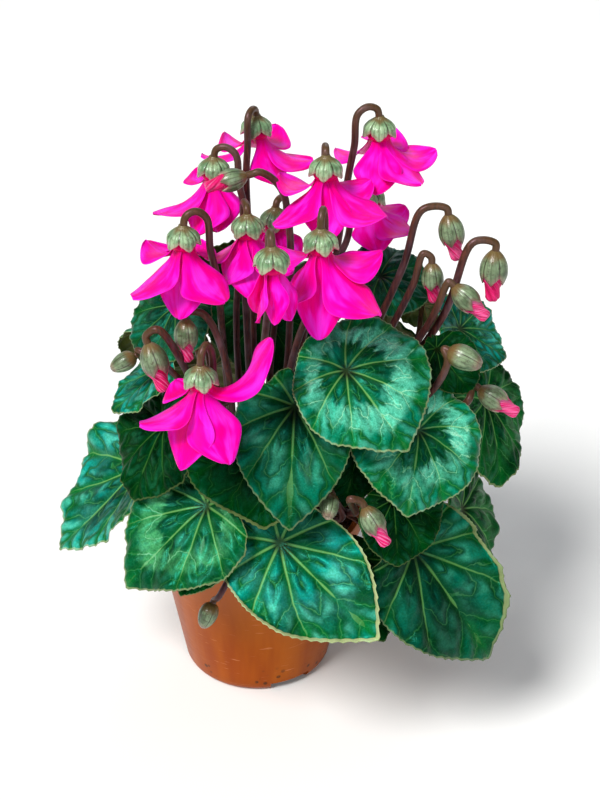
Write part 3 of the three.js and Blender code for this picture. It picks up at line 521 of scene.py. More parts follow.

# %% [markdown]
# The upper side is deep green, with a painted teal sheen in the hollows between the veins, and
# silvery patches there that are partly the leaf's own silver marking and partly a painted highlight.
# Painted shade darkens it almost to black in broad random patches and in the funnel round the
# petiole. A band of pale mint marbling lies between the middle of the blade and its edge and
# flashes out along jagged lines. A thin cream line follows the teeth, and it widens where the edge
# curls over. Six skins share this recipe: they differ in how marbled they are, how strong their
# painted teal sheen is, how much painted shade darkens them all over, and how glossy they are.


# %% Leaf blade material
def leaf_material(name, marble, teal, shade, gloss):
    material, g = new_material(name)
    veins = g.add("ShaderNodeGroup", out=None, node_tree=VEINS)
    main, side, hollow, near, stroke = (veins.outputs[label] for label in VEIN_MASKS)
    plane = blade_plane(g)
    edge, under, curl, seed = (g.attribute(label) for label in ("edge", "under", "curl", "leaf_seed"))
    soft = g.noise(plane, 2.2, 1.0, w=seed)
    fine = g.noise(plane, 9.0, 3.0, w=seed)
    grain = g.noise(plane, 70.0, 2.0, w=seed)

    # Painted teal sheen: a lighter teal laid into the hollows between the veins, where a highlight would
    # lie.
    painted_teal_sheen = g.times(hollow, g.step(soft, 0.66, 0.40))
    # Silver patches between the veins: partly the leaf's own silver marking, partly a painted highlight.
    silver_and_painted_sheen = g.step(g.noise(plane, 5.0, 2.0, w=g.math("ADD", seed, 9.0)), 0.46, 0.64)
    silver_and_painted_sheen = g.times(silver_and_painted_sheen, g.times(hollow, g.step(edge, 0.08, 0.3)))
    halo = g.times(near, g.step(edge, 0.02, 0.3))
    # Painted shade: broad random patches darkened almost to black.
    painted_shade_patches = g.step(g.noise(plane, 1.5, 1.0, w=g.math("ADD", seed, 5.0)), 0.50, 0.36)
    green = g.coats(
        g.mix(g.step(soft, 0.36, 0.64), rgb(0, 16, 5), rgb(0, 52, 18)),
        (g.step(edge, 0.45, 0.92), 0.55, rgb(2, 96, 28)),
        (painted_teal_sheen, 0.3 + 0.7 * teal, rgb(0, 122 + 40 * teal, 66 + 84 * teal)),
        (silver_and_painted_sheen, 0.08 + 0.55 * teal, rgb(98, 216, 188)),
        (halo, 0.42, rgb(12, 140, 52)),
        (g.step(fine, 0.52, 0.74), 0.25, rgb(6, 116, 54)),
        (painted_shade_patches, 0.65 - 0.4 * marble, rgb(0, 20, 6)))

    ring = g.times_plus(g.math("SUBTRACT", stroke, 0.5), 0.50, edge)
    ring = g.times_plus(g.math("SUBTRACT", soft, 0.5), 0.22, ring)
    band = g.times(g.step(ring, 0.46, 0.56), g.step(ring, 0.84, 0.72))
    gone = g.step(g.noise(plane, 1.6, 1.0, w=seed), 0.38, 0.55)
    band = g.times(band, g.times_plus(gone, 0.6, 0.4))
    mottle = g.times_plus(g.step(g.noise(plane, 30.0, 3.0, w=seed), 0.40, 0.58), 0.3, 0.25)
    patch = g.times(band, g.times_plus(g.step(stroke, 0.40, 0.60), 0.45, mottle))
    flash = g.math("MAXIMUM", g.math("MAXIMUM", main, side), g.step(stroke, 0.56, 0.70))
    net = g.math("SUBTRACT", 1.0, g.step(g.cracks(plane, 20.0), 0.0, 0.07))
    lip = g.times_plus(curl, -0.03, 0.990)
    rim = g.step(g.math("SUBTRACT", g.times_plus(fine, 0.03, edge), lip), 0.0, 0.014)
    colour = g.coats(
        green,
        (patch, 0.95 * marble, rgb(116, 232, 120 + 130 * teal)),
        (g.times(band, flash), 0.8 * marble, rgb(184, 250, 218)),
        (net, 0.10, rgb(60, 150, 80)),
        (g.step(grain, 0.38, 0.62), 0.42, rgb(120, 170, 120), "MULTIPLY"),
        (side, 0.22, rgb(84, 168, 92)),
        (main, 0.62, rgb(124, 186, 100)),
        # Painted shade: the blade darkens to brown black in the funnel round the petiole.
        (g.step(edge, 0.17, 0.04), 0.85, rgb(26, 14, 6)),
        (rim, g.times_plus(curl, 0.35, 0.42), rgb(190, 196, 140)))
    below = g.coats(
        g.mix(g.step(soft, 0.3, 0.7), rgb(74, 84, 26), rgb(116, 112, 48)),
        (main, 0.8, rgb(156, 124, 84)),
        (side, 0.4, rgb(140, 134, 76)))
    colour = g.mix(g.step(under, 0.3, 0.7), colour, below)
    # Painted shade: the whole skin is darkened by the shade share, for leaves that lie in shade.
    if shade:
        colour = g.mix(shade, colour, rgb(70, 110, 50), "MULTIPLY")
    rough = g.times_plus(fine, 0.16, g.times_plus(under, 0.25, 0.28))
    height = g.weighted((side, -0.5), (main, -1.0), (hollow, 0.4), (net, -0.2), (fine, 0.3),
                        (grain, 0.05))
    finish_material(g, colour, rough, height, (0.28, 0.0009),
                    {"Specular IOR Level": gloss, "Specular Tint": (0.06, 0.80, 0.58, 1)})
    return material


# The columns: how marbled, how strong the painted teal sheen is, how much painted shade darkens the skin,
# and how glossy. The deep and dark skins are shaded copies for leaves that lie in shade.
LEAF_MATERIALS = {
    "marbled": leaf_material("marbled leaf", 1.0, 0.6, 0.0, 0.45),
    "veined": leaf_material("veined leaf", 0.55, 0.25, 0.15, 0.45),
    "teal": leaf_material("teal leaf", 0.12, 1.0, 0.0, 0.5),
    "deep": leaf_material("deep green leaf", 0.10, 0.7, 0.5, 0.35),
    "dark": leaf_material("dark leaf", 0.10, 0.25, 0.8, 0.05),
    "fresh": leaf_material("fresh leaf", 0.15, 0.0, 0.0, 0.05),
}
print("leaf materials:", list(LEAF_MATERIALS))

# %% [markdown]
# Stems, petioles and bud stalks are smooth and brown maroon, with fine streaks along them,
# patches of painted sheen, grey violet on the stems and olive on the petioles, and olive where the
# stem meets its flower. Nearly all of them stand upright, so noise stretched along Z gives the
# streaks and no map is needed. An attribute says how far along its stem a point lies.

# %% Shader group: streaks along a stem
STREAKS, g, group_in, group_out = new_group(
    "stem streaks", "ShaderNodeTree", [("Scale", "Float", 900.0)],
    [("Streak", "Float"), ("Painted sheen", "Float")])
place = g.object_place()
streak = g.noise(g.stretched(place, (1, 1, 0.08)), group_in["Scale"], 2.0)
# The second output masks the patches of painted sheen.
put_out(STREAKS, group_out, {"Streak": streak, "Painted sheen": g.noise(place, 90.0, 3.0)})


# %% Stem material
def stem_material(name, dark, light, painted_sheen_colour):
    material, g = new_material(name)
    streaks = g.add("ShaderNodeGroup", out=None, node_tree=STREAKS)
    streak, painted_sheen_mask = streaks.outputs["Streak"], streaks.outputs["Painted sheen"]
    colour = g.coats(
        g.mix(g.step(streak, 0.35, 0.7), dark, light),
        # Painted sheen: noise patches of a lighter grey violet, olive on the petiole, stand in for
        # highlights.
        (g.step(painted_sheen_mask, 0.45, 0.75), 0.55, painted_sheen_colour),
        (g.step(g.attribute("along"), 0.82, 1.0), 0.5, rgb(92, 78, 38)))
    finish_material(g, colour, g.times_plus(streak, 0.2, 0.28), streak, (0.3, 0.0003),
                    {"Specular Tint": (0.9, 0.55, 0.7, 1)})
    return material


STEM = stem_material("flower stem", rgb(46, 18, 18), rgb(86, 42, 32), rgb(104, 78, 86))
PETIOLE = stem_material("petiole", rgb(64, 30, 24), rgb(104, 70, 44), rgb(84, 84, 48))

# %% [markdown]
# A petal is hot pink with painted lilac highlights on its outer half and along its edges and tip,
# deep crimson at the throat, and fine veins along it. Painted shade deepens its inner face, the
# throat and, on a bud, the valleys between its folds. The veins follow the petal's own map, which
# runs from the throat to the tip, so they bend with it. Light comes through it a little, so it has
# some subsurface.


# %% Petal material
def petal_material(name, mid, light, deep, painted_lilac_highlight):
    material, g = new_material(name)
    uv = g.add("ShaderNodeUVMap", uv_map="petal")
    across, along, _ = g.axes(uv)
    seed = g.attribute("petal_seed")
    lines = g.noise(g.stretched(uv, (1.0, 0.10, 1.0)), 26.0, 3.0, w=seed)
    patch = g.noise(g.stretched(uv, (1.0, 0.6, 1.0)), 3.4, 2.0, w=seed)
    off = g.math("ABSOLUTE", g.times_plus(across, 2.0, -1.0))
    colour = g.coats(
        g.mix(g.step(patch, 0.36, 0.60), mid, light),
        # Painted highlight: lilac patches on the outer half of the petal.
        (g.times(g.step(patch, 0.46, 0.66), g.step(along, 0.15, 0.45)), 0.7, painted_lilac_highlight),
        (g.step(along, 0.30, 0.02), 0.8, deep),
        (g.step(lines, 0.48, 0.74), 0.30, deep),
        # Painted shade: the inner face of each petal, the throat and the valleys of a bud's folds deepen
        # towards crimson.
        (g.attribute("inner"), 0.45, deep),
        # Painted highlight: a thin lilac line along the edges and the tip.
        (g.math("MAXIMUM", g.step(off, 0.93, 1.0), g.step(along, 0.965, 1.0)), 0.28, painted_lilac_highlight))
    finish_material(g, colour, g.times_plus(lines, 0.15, 0.38), lines, (0.35, 0.0005), {
        "Specular IOR Level": 0.4, "Specular Tint": (1.0, 0.04, 0.75, 1),
        "Subsurface Weight": 0.15, "Subsurface Radius": (1.0, 0.1, 0.4), "Subsurface Scale": 0.003})
    return material


PETAL = petal_material("petal", rgb(250, 0, 142), rgb(255, 0, 190), rgb(208, 0, 74), rgb(255, 54, 230))
BUD_PETAL = petal_material("bud petal", rgb(212, 24, 92), rgb(232, 56, 126), rgb(166, 10, 62),
                           rgb(246, 150, 196))

# %% [markdown]
# The calyx is a small bell of five green sepals, mottled with brown. Dark lines run along each
# sepal and between them, and the rim is tinged with pink. The mesh stores how far a point lies
# from the joint of two sepals and from the rim, so the lines keep to the sepals on every calyx,
# whichever way it hangs.


# %% Calyx material
def calyx_material(name, pale, mid, deep):
    material, g = new_material(name)
    joint = g.attribute("joint")
    rise = g.attribute("rise")
    place = g.object_place()
    speck = g.noise(place, 620.0, 4.0, rough=0.65)
    soft = g.noise(place, 150.0, 2.0)
    ribs = g.step(g.math("PINGPONG", g.times_plus(speck, 0.10, joint), 0.25), 0.045, 0.0)
    colour = g.coats(
        g.mix(g.step(soft, 0.35, 0.65), pale, mid),
        (g.step(speck, 0.50, 0.66), 0.6, deep),
        (ribs, 0.7, rgb(54, 66, 34)),
        (g.step(joint, 0.13, 0.02), 0.9, rgb(44, 40, 22)),
        (g.step(rise, 0.10, 0.02), 0.65, rgb(206, 206, 178)),
        (g.step(rise, 0.30, 0.08), 0.3, rgb(176, 96, 104)),
        (g.step(g.times_plus(speck, 0.12, rise), 0.66, 0.90), 0.85, rgb(112, 84, 40)))
    finish_material(g, colour, g.times_plus(speck, 0.25, 0.22), g.weighted((speck, 0.6), (ribs, -0.6)),
                    (0.5, 0.0004), {"Coat Weight": 0.15})
    return material


CALYX = calyx_material("calyx", rgb(158, 190, 146), rgb(98, 136, 96), rgb(86, 80, 46))
BUD_CALYX = calyx_material("bud calyx", rgb(128, 150, 114), rgb(76, 96, 64), rgb(58, 46, 32))

# %% [markdown]
# The pot is satin terracotta plastic. Painted light makes it paler towards its rim, and painted
# shade darkens it over its lowest 12 millimetres. It has faint flow marks down its side, scuffs,
# and a few specks of dirt near its foot. These marks come from noise that is stretched along the
# wall or round it, so they run as they do on moulded plastic.

# %% Pot material
POT, g = new_material("terracotta plastic")
place = g.object_place()
height_at = g.axes(place)[2]
flow = g.noise(g.stretched(place, (1, 1, 0.1)), 60.0, 3.0)
scuff = g.noise(g.stretched(place, (0.25, 0.25, 3.0)), 260.0, 4.0)
specks = g.add("ShaderNodeTexVoronoi", {"Vector": place, "Scale": 210.0})
dirt = g.times(g.step(specks, 0.36, 0.20), g.step(g.noise(place, 52.0), 0.49, 0.58))
colour = g.coats(
    g.mix(g.step(flow, 0.3, 0.7), rgb(144, 58, 0), rgb(168, 82, 0)),
    (g.step(scuff, 0.63, 0.72), 0.5, rgb(222, 150, 104)),
    # Painted light: the wall turns paler with height towards the rim.
    (g.step(height_at, 0.03, 0.10), 0.5, rgb(196, 112, 62)),
    (g.times(dirt, g.step(height_at, 0.022, 0.009)), 0.9, rgb(46, 26, 16)),
    # Painted shade: the lowest 12 millimetres darken towards the floor.
    (g.step(height_at, 0.012, 0.0), 0.25, rgb(120, 60, 30)))
finish_material(g, colour, g.times_plus(scuff, 0.3, 0.24), g.noise(place, 1400.0, 2.0), (0.12, 0.0003), {
    "Specular IOR Level": 0.25, "Specular Tint": (1.0, 0.45, 0.05, 1),
    "Subsurface Weight": 0.05, "Subsurface Scale": 0.004})

# %% [markdown]
# Potting soil is dark peat with pale fibres, and the tuber is brown cork with a cracked skin.
# Both are lumps of noise crossed by a net of cracks, so one recipe gives both.


# %% Soil and tuber materials
def earth_material(name, dark, light, scale, crack):
    material, g = new_material(name)
    place = g.object_place()
    lumps = g.noise(place, scale, 5.0, rough=0.7)
    cells = g.cracks(place, scale * 0.6)
    colour = g.coats(g.mix(g.step(lumps, 0.35, 0.68), dark, light),
                     (g.step(cells, 0.1, 0.0), crack, rgb(16, 10, 6)))
    height = g.times_plus(g.step(cells, 0.0, 0.15), crack, lumps)
    finish_material(g, colour, g.times_plus(lumps, 0.2, 0.75), height, (0.9, 0.001), {})
    return material


SOIL = earth_material("potting soil", rgb(34, 22, 15), rgb(92, 66, 46), 420.0, 0.3)
TUBER = earth_material("tuber skin", rgb(70, 44, 30), rgb(124, 92, 66), 240.0, 0.8)
print("materials:", len(bpy.data.materials))

# %% [markdown]
# A stem follows a path. It could be a bevelled curve object, but Geometry Nodes can also swell it
# towards its foot and store how far along it a point lies, which the stem's material needs. A line
# of points becomes a curve and a round section is swept along it. One tree serves every stem.

# %% Geometry Nodes: a stem along a path
STEM_SIDES = 12
STEM_FOOT = 1.2
STEM_TREE, g, tree_in, tree_out = new_group("stem along a path", "GeometryNodeTree", [
    ("Geometry", "Geometry", None), ("Radius", "Float", 0.0015), ("Foot", "Float", STEM_FOOT),
    ("Sides", "Int", STEM_SIDES), ("Skin", "Material", None)], [("Geometry", "Geometry")])
curve = g.add("GeometryNodeMeshToCurve", {0: tree_in["Geometry"]})
factor = g.add("GeometryNodeSplineParameter")
curve = g.add("GeometryNodeStoreNamedAttribute", {"Geometry": curve, "Name": "along", "Value": factor},
              data_type="FLOAT", domain="POINT")
swell = g.add("ShaderNodeMapRange", {0: factor, 1: 0.0, 2: 0.25, 3: tree_in["Foot"], 4: 1.0})
curve = g.add("GeometryNodeSetCurveRadius", {"Curve": curve, "Radius": g.times(swell, tree_in["Radius"])})
section = g.add("GeometryNodeCurvePrimitiveCircle", {"Resolution": tree_in["Sides"], "Radius": 1.0})
swept = g.add("GeometryNodeCurveToMesh",
              {"Curve": curve, "Profile Curve": section, "Fill Caps": True}, out=None)
if "Scale" in swept.inputs:
    STEM_TREE.links.new(g.add("GeometryNodeInputRadius"), swept.inputs["Scale"])
swept = g.add("GeometryNodeSetShadeSmooth", {0: swept.outputs[0]})
swept = g.add("GeometryNodeRealizeInstances", {0: swept})
swept = g.add("GeometryNodeSetMaterial", {"Geometry": swept, "Material": tree_in["Skin"]})
put_out(STEM_TREE, tree_out, {"Geometry": swept})

# %% [markdown]
# Leaves and petals are thin closed sheets, and the pot, calyxes, buds and tuber are turned forms.
# A few helpers make both kinds, join the meshes of one part of the plant into one object, hide
# the CAD node that the object takes the place of, and hang the object under the root.


# %% From points to pieces
def evaluated_mesh(thing):
    """The plain mesh that the modifiers of an object make."""
    depsgraph = bpy.context.evaluated_depsgraph_get()
    return bpy.data.meshes.new_from_object(thing.evaluated_get(depsgraph))


def run_tree(mesh, tree, inputs, name):
    """The plain mesh that a Geometry Nodes tree makes of a mesh."""
    carrier = new_object(name, mesh)
    modifier = carrier.modifiers.new(name, "NODES")
    modifier.node_group = tree
    for item in tree.interface.items_tree:
        if item.in_out == "INPUT" and item.name in inputs:
            modifier[item.identifier] = inputs[item.name]
    result = evaluated_mesh(carrier)
    bpy.data.objects.remove(carrier)
    return result


def stem_mesh(points, radius, steps, skin, foot=STEM_FOOT):
    """A swept stem from its foot to its top. points are in millimetres."""
    places = [p * MM for p in spline(points, steps)]
    line = bpy.data.meshes.new("stem line")
    line.from_pydata(places, [(i, i + 1) for i in range(len(places) - 1)], [])
    inputs = {"Radius": radius * MM, "Foot": foot, "Sides": STEM_SIDES, "Skin": skin}
    return run_tree(line, STEM_TREE, inputs, "stem")


def join_meshes(name, meshes):
    """One object of several meshes, with their materials kept."""
    objects = [new_object(name, mesh) for mesh in meshes]
    with bpy.context.temp_override(active_object=objects[0], selected_editable_objects=objects):
        bpy.ops.object.join()
    objects[0].name = name
    return objects[0]


def place_piece(piece, node):
    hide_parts(node)
    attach(piece, "root")


def add_values(mesh, name, values):
    layer = mesh.attributes.new(name, "FLOAT", "POINT")
    layer.data.foreach_set("value", np.asarray(values, dtype=np.float32))


def add_map(mesh, name, pairs):
    layer = mesh.uv_layers.new(name=name)
    for loop in mesh.loops:
        layer.data[loop.index].uv = pairs[loop.vertex_index]


def smooth(mesh):
    mesh.polygons.foreach_set("use_smooth", [True] * len(mesh.polygons))


def skin_mesh(name, points, faces, skin):
    """A smooth closed mesh, with its faces turned outwards. points are in metres."""
    mesh = bpy.data.meshes.new(name)
    mesh.from_pydata(points, [], faces)
    mesh.materials.append(skin)
    smooth(mesh)
    work = bmesh.new()
    work.from_mesh(mesh)
    bmesh.ops.recalc_face_normals(work, faces=work.faces)
    work.to_mesh(mesh)
    work.free()
    return mesh


def sheet_mesh(name, upper, lower, faces, loop, skin):
    """A closed sheet: faces over the upper points, the same over the lower ones, and a narrow
    wall along the loop of points at the edge."""
    count = len(upper)
    below = [tuple(count + k for k in reversed(face)) for face in faces]
    wall = [(b, a, count + a, count + b) for a, b in zip(loop, loop[1:] + loop[:1])]
    return skin_mesh(name, upper + lower, faces + below + wall, skin)


def turned_mesh(name, rows, columns, place, skin):
    """A closed skin of rows and columns round an axis. place(i, j) gives a point in millimetres."""
    points = [place(i, j) * MM for i in range(rows + 1) for j in range(columns)]
    last = rows * columns
    first = len(points)
    faces = []
    for i in range(0, last, columns):
        for j in range(columns):
            k = (j + 1) % columns
            faces.append((i + j, i + k, i + columns + k, i + columns + j))
    points.append(sum(points[:columns], Vector()) / columns)
    points.append(sum(points[last:first], Vector()) / columns)
    for j in range(columns):
        k = (j + 1) % columns
        faces.append((first, k, j))
        faces.append((first + 1, last + j, last + k))
    return skin_mesh(name, points, faces, skin)


def turned_profile(name, profile, columns, skin, move=lambda point: point):
    """Turns pairs of a radius and a height round an upright axis, and moves every point."""
    def place(i, j):
        radius, height = profile[i]
        return move(polar(radius, j / columns * TURN, height))
    return turned_mesh(name, len(profile) - 1, columns, place, skin)


# %% [markdown]
# A blade is a sheet of rings round the petiole. Its outline is a heart with a straight-sided
# point, and its surface dishes into a funnel, folds and waves at the edge. Sculpting each of 30
# leaves by hand would give other forms than the solids, so a few formulas make every leaf.


# %% The form of a leaf
SINUS = 0.12
FUNNEL_DEPTH = 0.06
EDGE_WAVE = 0.045


def leaf_frame(leaf):
    """The way that the upper side faces, the way to the tip, and the way across."""
    azimuth, elevation = (degrees * DEGREE for degrees in leaf["face"])
    ca, sa, ce, se = math.cos(azimuth), math.sin(azimuth), math.cos(elevation), math.sin(elevation)
    normal = Vector((ca * ce, sa * ce, se))
    downhill = Vector((ca * se, sa * se, -ce))
    spin = leaf.get("spin", 0) * DEGREE
    tip = downhill * math.cos(spin) + normal.cross(downhill) * math.sin(spin)
    return normal, tip, normal.cross(tip)


def edge_reach(leaf, angle):
    """How far the edge lies from the petiole, in sizes of the leaf."""
    side = 0 if angle > 0 else 1
    turn = abs(angle)
    point_size = leaf.get("point", 0.24)
    heart = 0.9 - point_size + 0.1 * math.cos(turn)
    point = point_size * math.exp(-turn / 0.3)
    from_gap = min(1.0, max(0.0, (math.pi - leaf["gap"] * SINUS - turn) / 0.24))
    back = 1 + (leaf.get("lobes", (0.9, 0.9))[side] - 1) * smoothstep(1.3, 2.4, turn)
    notch = leaf.get("notch", 0.38)
    lobe = back * (1 - notch + notch * math.sqrt(from_gap * (2 - from_gap)))
    return (heart + point) * lobe * (1 + (leaf.get("wide", (1, 1))[side] - 1) * math.sin(turn) ** 2)


def blade_height(leaf, angle, share, reach):
    x = share * reach * math.cos(angle)
    y = share * reach * math.sin(angle)
    out = math.hypot(x, y)
    funnel = -FUNNEL_DEPTH * math.exp(-((out / 0.13) ** 2))
    fold = leaf.get("fold", 0) * (math.hypot(y, 0.12) - 0.12)
    droop = -leaf.get("droop", 0) * max(0.0, x - 0.35) ** 2
    lift = leaf.get("lift", 0) * max(0.0, -x - 0.1) ** 1.5
    wave = EDGE_WAVE * share ** 3 * math.sin(leaf["waves"] * angle + leaf["phase"])
    return leaf.get("cup", 0) * out ** 2 + funnel + fold + droop + lift + wave


# %% [markdown]
# The edge of a real blade is cut into small teeth and ruffled, and the blade puffs up between its
# veins. A normal map could only shade that, so it is real relief here and shows in the outline.


# %% The mesh of a leaf
BLADE_TEETH = 74
BLADE_SPOKES = BLADE_TEETH * 3
BLADE_RINGS = 22
TOOTH = 0.016
RUFFLE = 0.016
EDGE_ROLL = 0.030


def vein_relief(angle, out):
    """Depth of the creases over the veins and height of the puffs between them."""
    turn = abs(angle) / math.pi
    turn += VEIN_LEAN * out * turn
    away = min(abs(turn - vein) for vein in VEIN_TURNS) * math.pi * out
    crease = -0.016 * math.exp(-((away / 0.030) ** 2)) * smoothstep(1.05, 0.5, out)
    cycle = ((out - SIDE_VEIN_SLANT * away) / SIDE_VEIN_GAP) % 1.0
    puff = 0.018 * math.sin(math.pi * cycle) ** 2 * smoothstep(0.0, 0.09, away)
    return (crease + puff) * smoothstep(0.04, 0.25, out)


def ruffle_height(leaf, angle, share):
    """Three waves along the edge, each finer one nearer to it."""
    phase = leaf["phase"]
    broad = 1.6 * share ** 3 * math.sin(angle * 7 + phase * 2)
    middle = share ** 6 * math.sin(angle * 13 + phase * 3)
    fine = 0.6 * share ** 10 * math.sin(angle * 23 - phase * 5)
    return RUFFLE * (broad + middle + fine)


def curl_share(leaf, angle):
    """How far the edge curls up here, 0 to 1. curl: middle and half width in degrees."""
    if "curl" not in leaf:
        return 0.0
    middle, width = leaf["curl"]
    return smoothstep(width, width * 0.4, abs(math.degrees(angle) - middle))


def blade_mesh(leaf, skin):
    normal, tip, side = leaf_frame(leaf)
    centre = Vector(leaf["at"]) + normal * leaf["slide"]
    half = math.pi - leaf["gap"] * SINUS
    top, bottom, plane, shares, curls = [], [], [], [], []
    for i in range(BLADE_RINGS + 1):
        share = 1 - (1 - i / BLADE_RINGS) ** 1.25
        over = smoothstep(0.90, 1.0, share)
        thick = BLADE_THICKNESS * (0.8 - 0.4 * share ** 6)
        for j in range(BLADE_SPOKES + 1 if i else 1):
            angle = half * (2 * j / BLADE_SPOKES - 1)
            reach = edge_reach(leaf, angle)
            tooth = ((0.0, 1.0, 0.35)[j % 3] - 0.6) * TOOTH * share ** 14
            curl = curl_share(leaf, angle)
            out = share * reach * (1 + tooth - 0.03 * curl * over)
            height = blade_height(leaf, angle, share, reach) + ruffle_height(leaf, angle, share)
            height += EDGE_ROLL * over * over * (2.2 * curl - 0.8) + vein_relief(angle, out)
            middle = height * leaf["size"] - BLADE_THICKNESS / 2
            x, y = out * math.cos(angle), out * math.sin(angle)
            at = centre + (tip * x + side * y) * leaf["size"]
            top.append((at + normal * (middle + thick / 2)) * MM)
            bottom.append((at + normal * (middle - thick / 2)) * MM)
            plane.append((0.5 + 0.5 * x, 0.5 + 0.5 * y))
            shares.append(share)
            curls.append(curl)
    row = BLADE_SPOKES + 1

    def index(i, j):
        return 0 if i == 0 else 1 + (i - 1) * row + j

    faces = []
    for j in range(BLADE_SPOKES):
        faces.append((0, index(1, j), index(1, j + 1)))
        for i in range(1, BLADE_RINGS):
            faces.append((index(i, j), index(i + 1, j), index(i + 1, j + 1), index(i, j + 1)))
    loop = [index(i, 0) for i in range(BLADE_RINGS)]
    loop += [index(BLADE_RINGS, j) for j in range(row)]
    loop += [index(i, BLADE_SPOKES) for i in range(BLADE_RINGS - 1, 0, -1)]
    mesh = sheet_mesh("blade", top, bottom, faces, loop, skin)
    count = len(top)
    add_map(mesh, "blade", plane * 2)
    add_values(mesh, "edge", shares * 2)
    add_values(mesh, "curl", curls * 2)
    add_values(mesh, "under", [0] * count + [1] * count)
    add_values(mesh, "leaf_seed", [leaf["seed"]] * (2 * count))
    return mesh


# %% [markdown]
# A petiole leaves the tuber upright, bows out and meets the blade from below. The blade's place
# along its own upper side could be typed in, but it is read from the leaf's CAD node, where it
# settled over its neighbours, so it stays right when the layout changes. The drawn stalk is a
# hair thinner than its solid and so stays inside it.


# %% Leaves with their petioles
LEAF_SEED = 2711
PETIOLE_SHARE = 0.95
PETIOLE_STEPS = 28


def settled_slide(leaf):
    normal, _, _ = leaf_frame(leaf)
    at = Vector(leaf["at"])
    heights = []
    for point in node_points(leaf["name"]):
        along = (point - at).dot(normal)
        if (point - at - normal * along).length < 0.02:
            heights.append(along)
    return max(heights) + FUNNEL_DEPTH * leaf["size"]


def petiole_points(leaf):
    normal, _, _ = leaf_frame(leaf)
    foot = foot_of(leaf["name"], 4)
    centre = Vector(leaf["at"]) + normal * leaf["slide"]
    top = centre - normal * (leaf["funnel"] + BLADE_THICKNESS * 0.7)
    reach = (top - foot).length
    under = top - normal * (reach * 0.14) - Vector((0, 0, reach * 0.05))
    start = foot + tuber_normal(foot) * 6
    middle = start.lerp(under, 0.5) + Vector((0, 0, reach * leaf.get("bow", 0.1)))
    return [foot, start, middle, under, top]


leaf_draw = draws(LEAF_SEED)
for number, leaf in enumerate(LEAVES):
    leaf["gap"] = leaf_draw(0.04, 0.12)
    leaf["waves"] = math.floor(leaf_draw(4, 6) + 0.5)
    leaf["phase"] = leaf_draw(0, TURN)
    leaf["seed"] = number * 1.7
    leaf["slide"] = settled_slide(leaf)
    leaf["funnel"] = -blade_height(leaf, 0, 0, 0) * leaf["size"]
    blade = blade_mesh(leaf, LEAF_MATERIALS[leaf["skin"]])
    stalk = stem_mesh(petiole_points(leaf), PETIOLE_RADIUS * PETIOLE_SHARE, PETIOLE_STEPS, PETIOLE)
    piece = join_meshes(leaf["name"].replace("leaf", "marbled_leaf"), [blade, stalk])
    place_piece(piece, leaf["name"])
print("leaves made:", len(LEAVES), "slides", [round(leaf["slide"], 1) for leaf in LEAVES])

# %% [markdown]
# A corolla hangs upside down: five petals leave the throat, sweep down and out, and each turns
# about its middle line, so it lies over one neighbour and under the next. A petal is a closed
# sheet with a cupped middle, a soft fold along it and a wavy edge. Its middle line is added up
# from small steps, because a bend that grows along a line has no shorter formula.


# %% The form of a petal
PETAL_ROWS = 28
PETAL_COLUMNS = 14
PETAL_PATH_STEPS = 24


def petal_frame(petal, t):
    """The middle of the petal a share t down it, the way across it, and the way out of it."""
    form = petal["form"]
    spread, length = form[:2]
    nudge = form[2] if len(form) > 2 else 0
    hinge = form[3] if len(form) > 3 else 1
    first = min(spread, 30) * 0.5 * DEGREE
    bend = 2 * spread * DEGREE - 2 * first

    def angle_at(share):
        return first + bend * (1 - (1 - share) ** hinge)

    out = THROAT_RADIUS * 0.6
    fall = 0.0
    for i in range(PETAL_PATH_STEPS):
        angle = angle_at(t * (i + 0.5) / PETAL_PATH_STEPS)
        out += length * t * math.sin(angle) / PETAL_PATH_STEPS
        fall += length * t * math.cos(angle) / PETAL_PATH_STEPS
    angle = angle_at(t)
    azimuth = (petal["azimuth"] + nudge) * DEGREE
    radial = polar(1, azimuth)
    along = Vector((-radial.y, radial.x, 0))
    outward = radial * math.cos(angle) + Vector((0, 0, math.sin(angle)))
    turn = (petal["pin"] + petal["twist"] * t * t) * DEGREE
    centre = radial * out + Vector((0, 0, -THROAT_HEIGHT * 0.5 - fall))
    return (centre, along * math.cos(turn) + outward * math.sin(turn),
            outward * math.cos(turn) - along * math.sin(turn))


def petal_half_width(petal, t):
    opening = 0.3 + 0.7 * smoothstep(0.08, 0.58, t)
    narrowing = 1 - 0.58 * smoothstep(0.55, 1, t)
    rounding = math.sqrt(max(0.0, 1 - max(0.0, (t - 0.80) / 0.20) ** 2.4))
    return petal["width"] / 2 * opening * narrowing * max(0.12, rounding)


def petal_lift(petal, s, t, half):
    """How far a point lies out of the flat petal. s: -1 at one edge and 1 at the other."""
    cupped = -petal["cup"] * half * s * s
    wave = 1.1 * abs(s) ** 3 * math.sin(7 * t + petal["phase"] + 1.8 * s) * smoothstep(0.2, 0.5, t)
    fold = 0.5 * math.sin(5 * t + 2.6 * s + petal["phase"] * 2) * (1 - s * s)
    roll = 0.16 * half * abs(s) ** 4 * smoothstep(0.35, 0.8, t)
    return cupped + wave + fold * smoothstep(0.1, 0.4, t) + roll


